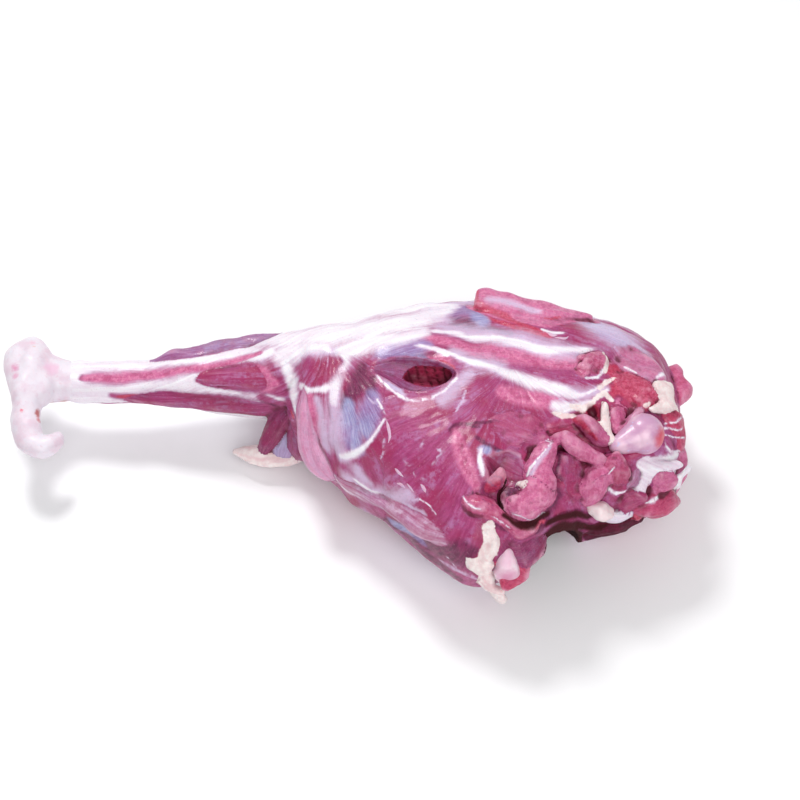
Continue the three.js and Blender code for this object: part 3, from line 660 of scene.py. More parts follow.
        [(-169, 119, 2), (-159, 120, 3.3), (-150, 121, 4), (-131, 115, 3.9), (-111, 110, 3.3),
            (-91, 110, 2.6), (-66, 97, 2.1), (-53, 91, 1.4)],
        [(-21, 112, 2.9), (-15, 104, 4.9), (-8, 97, 5.9), (-1, 89, 2.6)],
        [(-149, 170, 2.3), (-135, 178, 3.3), (-115, 175, 4.6), (-92, 176, 6.1), (-69, 180, 6.5),
            (-47, 185, 5.6)],
        [(-93, 132, 1.4), (-78, 135, 3.9), (-62, 140, 6.1), (-48, 140, 6), (-42, 148, 3.4)],
        [(-62, 112, 3.7), (-51, 120, 5.9), (-41, 134, 3.9)],
        [(-51, 163, 3.6), (-41, 175, 4.8)],
    ],
}

# Strokes over the folds: white edges, scraps of fat, red rims, and painted shade in the creases, under the curl
# and under the column.
TRIMS = {
    "pink": [
        [(71, 114, 2.4), (74, 121, 4.2), (77, 125, 4.1), (80, 128, 2.3)],
    ],
    "film": [
        [(123, 120, 0.75), (119, 121, 1.1), (115, 123, 1.3), (113, 126, 1.3)],
        # a pale band along the middle of the tongue: a painted sheen
        [(93, 47, 2.6), (109, 50, 2.7), (124, 52, 2.1)],
    ],
    "fascia": [
        [(124, 119, 0.3), (119, 120, 0.3), (115, 122, 0.34), (112, 124, 0.55), (111, 127, 0.65)],
        [(102, 140, 0.33), (107, 142, 0.49), (114, 148, 0.5), (121, 150, 0.3)],
        [(72, 135, 0.44), (76, 136, 0.67), (82, 137, 0.36)],
        [(89, 141, 0.31), (94, 144, 0.59), (100, 147, 0.35)],
        [(195, 117, 0.37), (201, 114, 0.38), (207, 108, 0.43)],
        [(193, 120, 0.5), (201, 119, 0.37), (207, 117, 0.42)],
        [(191, 123, 0.45), (200, 125, 0.38), (208, 124, 0.37)],
        [(194, 131, 0.52), (197, 135, 0.53), (206, 138, 0.48)],
        [(157, 149, 0.83), (164, 154, 0.79), (169, 154, 0.87)],
        [(159, 140, 0.59), (163, 137, 0.49)],
        [(175, 82, 0.67), (180, 86, 0.63)],
        [(191, 90, 0.96), (195, 87, 1.2)],
        [(147, 93, 0.61), (155, 91, 0.84), (161, 85, 0.86)],
        [(123, 63, 0.76), (130, 65, 1.3), (136, 65, 0.86)],
        [(184, 159, 0.44), (191, 159, 0.41)],
        [(142, 101, 0.92), (148, 100, 0.93), (155, 97, 0.66)],
    ],
    "red": [
        [(85, 41, 1.3), (86, 48, 2), (92, 51, 1.8), (102, 55, 2), (112, 60, 1.7), (121, 64, 2.2),
            (127, 65, 1.7)],
        [(124, 56, 0.57), (130, 55, 0.63), (138, 52, 0.41)],
        [(139, 113, 1.4), (144, 118, 1.7), (150, 122, 1.7)],
        [(105, 146, 0.93), (114, 150, 1.4), (120, 154, 1.3)],
    ],
    # painted shade down the curl's inner side, in the creases at the long muscle's end and below the curl; the
    # last stroke is dark muscle low on the front
    "dark_and_shade": [
        [(127, 123, 1.6), (129, 129, 1.2), (127, 135, 0.88)],
        [(129, 137, 2.9), (127, 143, 4.3), (123, 148, 4.9), (117, 155, 4.5)],
        [(65, 112, 0.74), (68, 109, 0.92), (72, 107, 1), (80, 105, 1), (88, 106, 0.81), (95, 108, 0.61)],
        [(43, 195, 4.3), (55, 191, 6.7), (67, 190, 6.7)],
    ],
    "fat": [
        [(161, 75, 0.88), (163, 81, 1.6), (160, 87, 1)],
        [(155, 97, 1.3), (161, 93, 1.4), (165, 91, 1)],
        [(152, 103, 1.2), (158, 100, 1.7), (162, 104, 1.2)],
        [(138, 106, 1.4), (145, 108, 1.9), (151, 105, 1.3)],
        [(126, 107, 0.93), (132, 110, 1.4), (139, 111, 1.3)],
        [(180, 106, 0.98), (183, 104, 0.95)],
    ],
    # painted shade under the curl and under the column
    "painted_shade": [
        [(96, 141, 1.6), (102, 145, 1.3), (108, 147, 1.4), (116, 150, 1.6), (122, 151, 1.6)],
        [(122, 156, 2.7), (129, 157, 3.4), (138, 160, 3.4), (148, 168, 3)],
        [(138, 169, 4.2), (150, 182, 3.8), (160, 182, 2.4)],
    ],
}

# What each fold and hollow is made of, from 0 to 1, and how much shade is painted on it. What isn't named is plain
# muscle.
MADE_OF = {
    "back_muscle": {"folded": 0, "membrane": 0.45, "bare": 1},
    "front_muscle": {"folded": 0, "dark_and_shade": 0.45},
    "shin_spindle": {"folded": 0, "dark_and_shade": 0.2, "pink": 0.3},
    "heel_tendon": {"folded": 0, "fascia": 1},
    "knee_flap_left": {"folded": 0, "dark_and_shade": 0.6},
    "knee_flap_right": {"folded": 0, "dark_and_shade": 0.5, "red": 0.3},
    "knee_web": {"folded": 0, "membrane": 1, "film": 0.5},
    "knee_fat": {"folded": 0, "fat": 1},
    "knee_column": {"folded": 0, "pink": 0.7, "film": 0.55},
    "front_rim": {"folded": 0, "fascia": 0.35, "pink": 0.3},
    "tongue": {"folded": 0.3, "pink": 0.9, "film": 0.25},
    "long_muscle": {"pink": 0.5, "torn": 0.25},
    "torn_lump": {"folded": 0.3, "pink": 0.35},
    "valley_ridge": {"folded": 0.5, "red": 0.7, "dark_and_shade": 0.25},
    "curl": {"pink": 0.9, "torn": 0.3},
    "lip": {"pink": 0.6, "red": 0.5, "torn": 0.3},
    "under_lobe": {"dark_and_shade": 0.6, "torn": 0.3},
    "tip_meat": {"red": 0.7, "torn": 0.3},
    "upper_fat": {"fat": 1},
    "lower_fat": {"fat": 1},
    "tip_fat": {"fat": 1},
    "white_stripe": {"fascia": 1},
    "curl_fat": {"fat": 1},
    "blue_tendon": {"fascia": 0.7, "membrane": 0.8},
    "lower_band": {"red": 0.5, "dark_and_shade": 0.5},
    "grey_strap": {"film": 0.5, "pink": 0.3},
    "ball_strand": {"pink": 0.6, "film": 0.4},
    # the curl's pocket is painted dark all over: painted shade in the recess
    "curl_pocket": {"dark_and_shade": 1, "membrane": 0.2},
    "arch": {"pink": 0.7, "red": 0.3},
    "column": {"dark_and_shade": 0.3, "torn": 0.4},
    "drape": {"pink": 0.7, "red": 0.3, "torn": 0.2},
    # the meat at the bottom, under the folds, is painted dark and near black: painted shade
    "bottom_meat": {"dark_and_shade": 0.6, "painted_shade": 0.7},
    "side_tab": {"folded": 0.3, "pink": 0.7, "red": 0.5},
    "end_fat": {"fat": 1},
    "rib_meat": {"red": 0.7},
    "right_rim": {"pink": 0.7, "red": 0.3},
    "end_tendon": {"folded": 0, "fascia": 0.75, "film": 0.3, "pink": 0.4},
    "lower_lump": {"red": 0.6, "pink": 0.5, "torn": 0.1},
    "middle_lump": {"red": 0.5, "pink": 0.4, "torn": 0.6},
    "end_lump": {"red": 0.3, "pink": 0.7, "torn": 0.4},
    "drip": {"red": 0.9},
    "short_tube": {"pink": 0.6, "red": 0.3},
    "fat_strip": {"fat": 1},
    "torn_top": {"red": 0.5, "pink": 0.6, "torn": 1},
    "torn_hump": {"pink": 0.6, "red": 0.3, "film": 0.35},
    "torn_middle": {"red": 0.8, "torn": 0.6},
    "torn_low": {"pink": 0.8, "torn": 0.3},
    "dish": {"folded": 0, "red": 0.5, "torn": 0.35},
    "valley": {"membrane": 0.12, "dark_and_shade": 0.45, "film": 0.25, "folded": 0},
    "low_valley": {"dark_and_shade": 0.6, "red": 0.4, "folded": 0},
    # the undercut, the slit, the crevice and the pit are painted near black in part: painted shade
    "undercut": {"folded": 0, "painted_shade": 1},
    "pocket": {"folded": 0, "membrane": 0.28, "dark_and_shade": 0.5, "film": 0.15},
    "slit": {"folded": 0, "dark_and_shade": 0.4, "red": 0.7, "painted_shade": 0.35},
    "crevice": {"painted_shade": 1},
    "pit": {"folded": 0, "painted_shade": 0.35, "red": 0.9},
}
TISSUES = ["fascia", "film", "fat", "membrane", "dark_and_shade", "painted_shade", "red", "pink", "torn", "folded", "bare"]


def stroke_amount(x, turn, radius, stroke):
    """How much a stroke covers each point: 1 on its line, 0.5 at its half width and 0 at nearly twice that.
    The distance to each link is measured on the leg laid flat, along the leg and round it."""
    amount = np.zeros(len(x))
    for (x0, turn0, wide0), (x1, turn1, wide1) in zip(stroke, stroke[1:]):
        to_mm = np.radians(1) * radius
        link = np.stack([np.full(len(x), x1 - x0), (turn1 - turn0) * to_mm], -1)
        off = np.stack([x - x0, ((turn - turn0 + 180) % 360 - 180) * to_mm], -1)
        t = np.clip((off * link).sum(-1) / np.maximum((link * link).sum(-1), 1e-6), 0, 1)
        distance = np.linalg.norm(off - link * t[:, None], axis=-1)
        amount = np.maximum(amount, np.clip(1.1 - 0.6 * distance / (wide0 + (wide1 - wide0) * t), 0, 1))
    return amount


def place_in_loft(points, rows, outward=(0, -0.4, 0.9), samples=60):
    """Where points lie in a loft: 1 on its surface and less inside, the length along it and the length
    round it, both in mm. A point is measured against the nearest of the samples along the middle line."""
    t = np.linspace(0, 1, samples)
    line, half, tangent, side, rise = loft_frame(rows, t, outward, False)
    nearest = np.linalg.norm(points[:, None] - line[None], axis=-1).argmin(1)
    off = points - line[nearest]
    taper = np.maximum(1 - np.abs(2 * t - 1) ** 4, 0.15) ** 0.5
    across = (off * side[nearest]).sum(-1)
    up = (off * rise[nearest]).sum(-1)
    ahead = (off * tangent[nearest]).sum(-1)
    width = (half[:, 0] * taper)[nearest]
    height = (np.where(up > 0, half[nearest, 1], half[nearest, 2])) * taper[nearest]
    level = np.sqrt((across / width) ** 2 + (up / height) ** 2 + (ahead / width) ** 2)
    length = np.concatenate([[0], np.cumsum(np.linalg.norm(np.diff(line, axis=0), axis=1))])
    return level, length[nearest], np.arctan2(up, across) * half[:, 0].mean()


def place_in_plate(points, outline, thickness):
    """Where points lie in a plate: 1 on its surface and less inside, and the place along and across its
    face."""
    rim, middle, normal = plate_frame(outline, 64)
    along = unit(rim[0] - middle)
    across = np.cross(normal, along)
    off, rim = points - middle, rim - middle
    flat = np.stack([off @ along, off @ across], -1)
    edge = np.stack([rim @ along, rim @ across], -1)
    turn = np.arctan2(edge[:, 1], edge[:, 0])
    order = np.argsort(turn)
    towards = np.arctan2(flat[:, 1], flat[:, 0])
    radius = np.interp(towards, turn[order], np.linalg.norm(edge, axis=1)[order], period=2 * np.pi)
    level = ((np.linalg.norm(flat, axis=1) / radius) ** 3 + np.abs(off @ normal / thickness) ** 3) ** (1 / 3)
    return level, flat[:, 0], flat[:, 1]


# the fibres fan out past this turn, in degrees: over the thigh beyond the first x in mm, and over the knee between
# the two
FAN_TURN = 84
FAN_START = 26
KNEE_FAN_START = -25
# from one upright fold of the pocket's floor to the next, in mm
POCKET_FOLD = 5.5
# how far these folds lean over for each millimetre of height, and how far they sway to the sides, in mm
POCKET_LEAN = 0.2
POCKET_SWAY = 1.5
# the places, along and in turn, that the fibres of the front and of the knee fan out from
FAN = (104, 82)
KNEE_FAN = (-8, 70)


def tissues_and_grain(points):
    """The amount of each tissue at each point, and the meat's grain: how far along its fibres and across
    them."""
    x = points[:, 0]
    turn, radius = around(points)
    to_mm = np.radians(1) * radius
    amounts = {name: np.zeros(len(points)) for name in TISSUES}
    for name, strokes in STROKES.items():
        for stroke in strokes:
            amounts[name] = np.maximum(amounts[name], stroke_amount(x, turn, radius, stroke))
    # Sinew wraps the whole shank, and muscle shows where it is bare.
    wrap = 0.9 * smoothstep(-38, -62, x) * smoothstep(-175, -100, turn - 360 * (turn > 200))
    amounts["fascia"] = np.maximum(amounts["fascia"], np.maximum(wrap, smoothstep(-150, -172, x)))
    for tissue in ("fascia", "film"):
        amounts[tissue] = amounts[tissue] * (1 - amounts["bare"])
    # Fibres run along the leg on top and spread like a fan from under the white band on the front.
    grain = np.stack([x, turn * to_mm], -1)
    past = turn > FAN_TURN
    thigh_fan = past & (x > FAN_START)
    knee_fan = past & (x > KNEE_FAN_START) & (x <= FAN_START)
    for (fan_x, fan_turn), here in ((FAN, thigh_fan), (KNEE_FAN, knee_fan)):
        ahead, round_it = x - fan_x, (turn - fan_turn) * to_mm
        fan = np.stack([np.hypot(ahead, round_it), np.arctan2(ahead, round_it) * 60], -1)
        grain = np.where(here[:, None], fan, grain)
    best = np.full(len(points), 0.3)
    for order, (name, rows) in enumerate({**HOLLOWS, **FOLDS, **PLATES, **GAPS}.items()):
        rows = np.asarray(rows, float)
        reach = rows[:, 3:].max() * 1.6 if name not in PLATES else 5
        near = ((points > rows[:, :3].min(0) - reach) & (points < rows[:, :3].max(0) + reach)).all(1)
        index = np.flatnonzero(near)
        if name in PLATES:
            half = PLATE_THICKNESS.get(name, USUAL_THICKNESS)
            level, along, across = place_in_plate(points[index], rows, half)
        else:
            level, along, across = place_in_loft(points[index], rows)
        off = np.abs(level - 1)
        wins = off < best[index]
        index, along, across, off = index[wins], along[wins], across[wins], off[wins]
        best[index] = off
        cover = smoothstep(0.3, 0.1, off)
        for tissue in TISSUES:
            wanted = MADE_OF[name].get(tissue, 1 if tissue == "folded" else 0)
            amounts[tissue][index] += (wanted - amounts[tissue][index]) * cover
        grain[index] = np.stack([along + 40 * order, across], -1)
        if name == "slit":
            # The pocket's floor has small upright folds a few millimetres apart, with painted shade between them.
            sway = POCKET_SWAY * np.sin(points[index, 1] / 3)
            lean = points[index, 0] + POCKET_LEAN * points[index, 2] + sway
            amounts["painted_shade"][index] += 0.5 * cover * smoothstep(0.55, 1, np.cos(2 * np.pi * lean / POCKET_FOLD))
    for name, strokes in TRIMS.items():
        for stroke in strokes:
            amounts[name] = np.maximum(amounts[name], stroke_amount(x, turn, radius, stroke))
    return amounts, grain


# %% [markdown]
# ## Relief
#
# Muscle has ridges a few millimetres apart along its fibres, torn flesh is crumbly, fascia is drawn smooth,
# and all of it sags in soft lumps. Each is a height added along the skin's normal, from smooth random
# values on a lattice.

# %% Lattice noise and relief
LATTICE = np.random.default_rng(7).random((32, 32, 32))


def noise(points, size, shift=0.0):
    """Smooth random values from 0 to 1 with lumps of about size: the lattice's values at the eight corners
    of the cell that a point is in, blended with weights 3w^2 - 2w^3 along each axis."""
    place = points / size + shift
    cell = np.floor(place).astype(int)
    w = place - cell
    w = w * w * (3 - 2 * w)
    value = np.zeros(len(points))
    for corner in np.ndindex(2, 2, 2):
        weight = np.prod(np.where(corner, w, 1 - w), axis=1)
        at = (cell + corner) % len(LATTICE)
        value += weight * LATTICE[at[:, 0], at[:, 1], at[:, 2]]
    return value


def creases(points, size, shift=0.0, sharp=5):
    """1 on thin winding lines and 0 between them: the places where the noise crosses one half."""
    return np.clip(1 - sharp * np.abs(2 * noise(points, size, shift) - 1), 0, 1)


def relief(points, amounts, grain):
    """Height in mm: soft lumps everywhere, ridges along the fibres of bare muscle, crumbs where the flesh
    is torn, and a little extra thickness under fascia and fat. It fades out where the leg rests."""
    fibres = np.stack([grain[:, 0] / 12, grain[:, 1], np.zeros(len(grain))], -1)
    smooth = np.clip(amounts["fascia"] + amounts["fat"] + 0.6 * amounts["membrane"] + amounts["folded"], 0, 1)
    height = 2.2 * (noise(points, 24) - 0.5) + 0.9 * (noise(points, 9, 3.3) - 0.5)
    height += (1 - smooth) * 0.8 * (noise(fibres, 3.4, 1.7) - 0.5)
    height += amounts["torn"] * (1.6 * (noise(points, 6.5, 5.1) - 0.5) + 0.9 * (noise(points, 2.6, 9.4) - 0.5))
    height -= (1 - smooth) * 0.5 * creases(fibres, 6, 8.8)
    height -= amounts["torn"] * (0.5 * creases(points, 11, 2.6) + 0.4 * creases(points, 6, 6.1))
    height += amounts["folded"] * (2.2 * (noise(points, 9, 7.7) - 0.5) + 1.1 * (noise(points, 4.2, 4.4) - 0.5))
    height += 0.5 * amounts["fascia"] + 0.8 * amounts["fat"] * (noise(points, 4, 2.2) - 0.2)
    return height * smoothstep(0.5, 7, points[:, 2])


# %% Read and write a mesh as arrays
def mesh_points(mesh):
    points = np.empty(len(mesh.vertices) * 3, np.float32)
    mesh.vertices.foreach_get("co", points)
    return points.reshape(-1, 3).astype(float) / MM


def mesh_normals(mesh):
    normals = np.empty(len(mesh.vertices) * 3, np.float32)
    mesh.vertex_normals.foreach_get("vector", normals)
    return normals.reshape(-1, 3).astype(float)


def set_points(mesh, points):
    mesh.vertices.foreach_set("co", (points * MM).astype(np.float32).ravel())
    mesh.update()


def write_attribute(mesh, name, kind, values):
    attribute = mesh.attributes.new(name, kind, "POINT")
    field = {"FLOAT": "value", "FLOAT_VECTOR": "vector"}[kind]
    attribute.data.foreach_set(field, np.asarray(values, np.float32).ravel())


def thinned(obj, triangles):
    """Fewer triangles where the surface is nearly flat, so that the whole stays within the given number."""
    mesh = obj.data
    now = sum(len(face.vertices) - 2 for face in mesh.polygons)
    if now > triangles:
        modifier = obj.modifiers.new("thin", "DECIMATE")
        modifier.ratio = triangles / now
        applied(obj)
    return obj


def edge_ends(mesh):
    ends = np.empty(len(mesh.edges) * 2, np.int32)
    mesh.edges.foreach_get("vertices", ends)
    return ends.reshape(-1, 2)


def neighbour_mean(values, ends):
    """The mean of each vertex's neighbours, for one value or a row of values at each vertex."""
    values = values.reshape(len(values), -1)
    count = np.bincount(ends.ravel(), minlength=len(values))[:, None]
    first, second = ends.T
    total = np.stack([
        np.bincount(first, column[second], len(values)) + np.bincount(second, column[first], len(values))
        for column in values.T], -1)
    return total / np.maximum(count, 1)


def melted(points, ends, times, share=0.5):
    """Points moved towards their neighbours' mean, which melts the creases between forms a little."""
    for _ in range(times):
        points = points + share * (neighbour_mean(points, ends) - points)
    return points


def cavity(points, normals, ends):
    """How far into a crease each point lies: above 0 in a crease and below 0 on a ridge, in tenths of a mm."""
    depth = ((neighbour_mean(points, ends) - points) * normals).sum(-1)
    for _ in range(6):
        depth = 0.5 * depth + 0.5 * neighbour_mean(depth, ends)[:, 0]
    return depth * 10


def warp(points, amounts):
    """Shifts by smooth noise, so that the folds aren't even: by up to 1.4 mm on whole muscle, 2 mm where
    the flesh is torn and 4 mm on folds."""
    reach = 2.0 + 1.0 * amounts["torn"] + 4.0 * amounts["folded"]
    shift = np.stack([noise(points, 15, k * 4.7) - 0.5 for k in range(3)], -1) * reach[:, None]
    shift += np.stack([noise(points, 7, k * 2.9 + 1) - 0.5 for k in range(3)], -1) * reach[:, None] * 0.4
    shift[:, 2] *= smoothstep(1, 10, points[:, 2])
    return shift


MOST_TRIANGLES = 195000
# how many times the points are moved towards their neighbours: for the skin, and to find the valleys in it
SKIN_MELTS = 6
VALLEY_MELTS = 40
points = mesh_points(meat.data)
ends = edge_ends(meat.data)
amounts, grain = tissues_and_grain(points)
softer = np.stack([amounts[name] for name in TISSUES], -1)
for _ in range(6):
    softer = neighbour_mean(softer, ends)
softer = dict(zip(TISSUES, softer.T))
points = melted(points, ends, SKIN_MELTS)
points += warp(points, softer)
set_points(meat.data, points)
points = points + mesh_normals(meat.data) * relief(points, softer, grain)[:, None]
points[:, 2] = np.maximum(points[:, 2], 0)
set_points(meat.data, points)
# The creases and valleys found here are painted darker, and the ridges paler, in the meat's colour: painted shade
# and painted highlights.
write_attribute(meat.data, "cavity", "FLOAT", cavity(points, mesh_normals(meat.data), ends))
valley = ((melted(points, ends, VALLEY_MELTS) - points) * mesh_normals(meat.data)).sum(-1)
write_attribute(meat.data, "valley", "FLOAT", valley)
print("valleys, in mm:", np.percentile(valley, [1, 10, 50, 90, 99]).round(2))
for name in TISSUES:
    write_attribute(meat.data, name, "FLOAT", amounts[name])
write_attribute(meat.data, "grain", "FLOAT_VECTOR", np.c_[grain, np.zeros(len(grain))])
thinned(meat, MOST_TRIANGLES)
print("meat:", len(meat.data.polygons), "faces")

# %% [markdown]
# ## Moist meat
#
# Raw meat is wet, slightly see-through muscle. Light goes a millimetre or two in before it comes back,
# which softens its shadows, and the film of water on top gives small sharp glints. So the material has
# subsurface light, a thin clear coat, and a colour that is worked out from the tissues. The edge between
# two tissues is ragged: the amount is compared with one half after some noise is added, which also makes it
# sharper than the mesh is fine.

# %% Colours and nodes


def linear(colour):
    """An sRGB hex colour as linear RGBA."""
    parts = np.array([int(colour[k:k + 2], 16) for k in (1, 3, 5)]) / 255
    return (*np.where(parts <= 0.04045, parts / 12.92, ((parts + 0.055) / 1.055) ** 2.4), 1.0)


# the output that is wanted of a node, where it isn't the first one
WANTED_OUTPUT = {"TexCoord": "Object", "Attribute": "Fac", "Mix": 2}


def add(tree, kind, inputs=(), **settings):
    """Adds a node. Settings are the node's own properties, and inputs maps a socket to a value, an sRGB
    colour or another node's output."""
    made = tree.nodes.new("ShaderNode" + kind)
    for name, value in settings.items():
        setattr(made, name, value)
    for socket, value in dict(inputs).items():
        if isinstance(value, bpy.types.NodeSocket):
            tree.links.new(value, made.inputs[socket])
        else:
            made.inputs[socket].default_value = linear(value) if isinstance(value, str) else value
    return made.outputs[WANTED_OUTPUT.get(kind, 0)]


def new_material(name, **settings):
    """A material with a Principled shader whose sockets are set to the given values."""
    material = bpy.data.materials.new(name)
    material.use_nodes = True
    tree = material.node_tree
    shader = tree.nodes["Principled BSDF"]
    for socket, value in settings.items():
        shader.inputs[socket.replace("_", " ")].default_value = value
    return material, tree, shader


def paint(tree, colour, rows):
    """Lays colours over the given one. A row is an amount, where the layer starts, where it is full, its
    share of the colour there, and its own colour."""
    for amount, start, full, share, above in rows:
        mask = add(tree, "MapRange", {0: amount, 1: start, 2: full, 4: share}, interpolation_type="SMOOTHSTEP")
        colour = add(tree, "Mix", {0: mask, 6: colour, 7: above}, data_type="RGBA")
    return colour


def mixture(tree, parts):
    """The sum of each value times its share."""
    total = 0.0
    for value, share in parts:
        total = add(tree, "Math", {0: value, 1: share, 2: total}, operation="MULTIPLY_ADD")
    return total


def frayed(tree, amount, noise, reach):
    """amount + reach * (noise - 0.5), which makes the amount's edge ragged."""
    swing = add(tree, "Math", {0: noise, 1: 0.5}, operation="SUBTRACT")
    return mixture(tree, [(amount, 1), (swing, reach)])


# how much of the clear coat the film of water gives
WATER_FILM = 0.27


def raw_lamb():
    """Mauve muscle with lighter and darker fibres, under films, fat and torn flesh, each over the one before, with
    painted shade in the creases, valleys and undercut and painted highlights on the ridges."""
    # The roughness and the coat's weight get their links further down.
    material, tree, shader = new_material(
        "raw_lamb", Roughness=0.4, IOR=1.4, Subsurface_Weight=0.12, Subsurface_Scale=2 * MM, Coat_Weight=0.4,
        Coat_Roughness=0.13, Coat_IOR=1.35)
    shader.inputs["Subsurface Radius"].default_value = (1.0, 0.35, 0.3)
    here = add(tree, "TexCoord")
    grain = add(tree, "Attribute", attribute_name="grain").node.outputs["Vector"]
    along = add(tree, "VectorMath", {0: grain, 1: (0.1 * MM, 1 * MM, 0)}, operation="MULTIPLY")
    amount = {name: add(tree, "Attribute", attribute_name=name) for name in (*TISSUES, "cavity", "valley")}
    # where each noise is read, the size of its lumps in mm, its detail, roughness and distortion
    noises = {
        "fine": (along, 1.1, 3, 0.6, 0), "coarse": (along, 4.5, 2, 0.5, 0.6),
        "feather": (along, 1.7, 4, 0.7, 0),
        "patches": (here, 26, 3, 0.5, 0), "crumbs": (here, 2.2, 3, 0.7, 0), "ragged": (here, 5, 4, 0.65, 0),
        "speckle": (here, 1.3, 2, 0.7, 0)}
    fine, coarse, feather, patches, crumbs, ragged, speckle = (
        add(tree, "TexNoise", {"Vector": where, "Scale": 1 / (size * MM), "Detail": detail,
                               "Roughness": roughness, "Distortion": distortion})
        for where, size, detail, roughness, distortion in noises.values())
    streaks = mixture(tree, [(coarse, 0.3), (ragged, 0.3), (feather, 0.4)])
    # Cut across, muscle shows the ends of its fibres as fine grain and not as streaks.
    mixed = mixture(tree, [(crumbs, 0.65), (fine, 0.35)])

    def cover(name, fray=0.35):
        """A tissue's amount with a ragged edge, drawn out along the fibres where it is fascia or film."""
        return frayed(tree, amount[name], streaks if name in ("fascia", "film") else ragged, fray)

    def strands(low_colour, high_colour, source=fine):
        return paint(tree, low_colour, [(source, 0.35, 0.68, 1, high_colour)])

    # A thin pale film lies over the muscle in drawn-out patches.
    drawn_out, torn_off = (
        add(tree, "MapRange", {0: source, 1: start, 2: full}, interpolation_type="SMOOTHSTEP")
        for source, start, full in ((coarse, 0.45, 0.66), (ragged, 0.4, 0.62)))
    veil = add(tree, "Math", {0: drawn_out, 1: torn_off}, operation="MULTIPLY")
    veil = add(tree, "Math", {0: veil, 1: 0.42}, operation="MULTIPLY")
    muscle = paint(tree, "#942A60", [(fine, 0.3, 0.72, 1, "#AE4A80"), (coarse, 0.35, 0.75, 0.35, "#A84080"),
                                     (patches, 0.42, 0.62, 0.75, "#9C2252")])
    muscle = add(tree, "Mix", {0: veil, 6: muscle, 7: "#BE92C4"}, data_type="RGBA")
    pale = paint(tree, "#C4568A", [(mixed, 0.3, 0.75, 1, "#E08CB0"), (ragged, 0.46, 0.62, 0.6, "#AC3A6C")])
    grainy = paint(tree, "#9C2C58", [(crumbs, 0.35, 0.65, 1, "#D888AC")])
    violet = paint(tree, strands("#86699F", "#A093C6"), [(patches, 0.4, 0.6, 1, strands("#8E95C8", "#B3B9DE"))])
    fat = paint(tree, "#E6CFD0", [(ragged, 0.3, 0.7, 1, "#F4EAE8"),
                                  # darker pink in the fat's creases: painted shade
                                  (amount["cavity"], 0.1, 0.8, 0.6, "#C98F9A"),
                                  (coarse, 0.5, 0.7, 0.45, "#DDA9B2")])
    colour = paint(tree, muscle, [
        # dark muscle, and painted shade where this amount lies in creases and recesses
        (cover("dark_and_shade"), 0.25, 0.9, 1, strands("#5E1440", "#86295A")),
        (cover("pink"), 0.3, 0.8, 1, pale),
        (cover("red"), 0.3, 0.85, 1, strands("#AC2048", "#CF4B6E", mixed)),
        (cover("torn"), 0.3, 0.9, 0.35, grainy),
        (cover("membrane"), 0.1, 0.8, 0.8, violet),
        # dark red in the broad valleys between the folds: painted shade
        (amount["valley"], 0.25, 1.6, 0.75, "#7C1438"),
        # paler pink on the broad ridges: painted light
        (amount["valley"], -0.4, -1.6, 0.3, "#E0A0BE"),
        # paler pink on the small ridges: a painted highlight
        (amount["cavity"], -0.12, -0.9, 0.4, "#E8B4CA"),
        (cover("film", 1.4), 0.1, 1.05, 0.75, "#DAC8E6"),
        (cover("fascia", 1.0), 0.02, 0.7, 0.6, "#D0AFD2"),
        (cover("fascia", 1.2), 0.25, 0.95, 0.96, strands("#EDE3EE", "#F5F3F8", coarse)),
        (speckle, 0.6, 0.78, 0.25, "#E9B4C8"),
        (speckle, 0.42, 0.25, 0.25, "#6A1238"),
        # painted shade: near black in the undercut, the crevices, the pit, the slit and under the folds
        (cover("painted_shade"), 0.2, 0.9, 1, "#3C0812"),
        # dark red in the small creases: painted shade
        (amount["cavity"], 0.1, 0.8, 0.85, "#5A0C28"),
        (cover("fat", 0.9), 0.25, 0.7, 1, fat),
    ])
    tree.links.new(colour, shader.inputs["Base Color"])
    # Wet all over, but for the undercut and the crevices, where near-black shade is painted and the surface is
    # dull.
    dull = add(tree, "MapRange", {0: cover("painted_shade"), 1: 0.1, 2: 0.6}, interpolation_type="SMOOTHSTEP")
    wet = add(tree, "MapRange", {0: ragged, 1: 0.3, 2: 0.7, 3: 0.36, 4: 0.56}, interpolation_type="SMOOTHSTEP")
    wet = add(tree, "Math", {0: wet, 1: dull}, operation="MAXIMUM")
    tree.links.new(wet, shader.inputs["Roughness"])
    water = add(tree, "Math", {0: dull, 1: -WATER_FILM, 2: WATER_FILM}, operation="MULTIPLY_ADD")
    tree.links.new(water, shader.inputs["Coat Weight"])
    grit = add(tree, "Math", {0: amount["folded"], 1: 0.3}, operation="ADD")
    grit = add(tree, "Math", {0: grit, 1: crumbs}, operation="MULTIPLY")
    height = mixture(tree, [(fine, 0.45), (grit, 1.7), (speckle, 0.4), (ragged, 1.3)])
    bump = add(tree, "Bump", {"Height": height, "Strength": 0.8, "Distance": 0.6 * MM})
    tree.links.new(bump, shader.inputs["Normal"])
    return material


meat.data.materials.clear()
meat.data.materials.append(raw_lamb())
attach(meat, "root")
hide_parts("leg_meat")

# %% [markdown]
# ## Flecks of fat and loose threads
#
# Here and there a flake of fat or a thread of torn film lies on the meat. Each is a thin loft along a few
# places on the skin. A ray shot at the leg's middle line from outside finds where the skin is, so that
# every fleck sits on it.

# %% Flecks on the skin
FLECKS = [
    [(28, 120, 0.37), (29, 123, 1), (30, 127, 0.83), (29, 131, 0.31)],
    [(33, 142, 0.52), (35, 143, 0.98), (38, 144, 0.36)],
    [(34, 150, 0.47), (37, 149, 1), (39, 149, 0.3)],
    [(48, 142, 0.62), (50, 143, 1.1), (51, 144, 0.41)],
    [(40, 146, 0.3), (42, 147, 0.55), (44, 148, 0.3)],
    [(127, 65, 0.7), (130, 67, 1.5), (133, 67, 0.68)],
    [(131, 69, 0.65), (136, 69, 1.3), (140, 67, 0.53)],
]


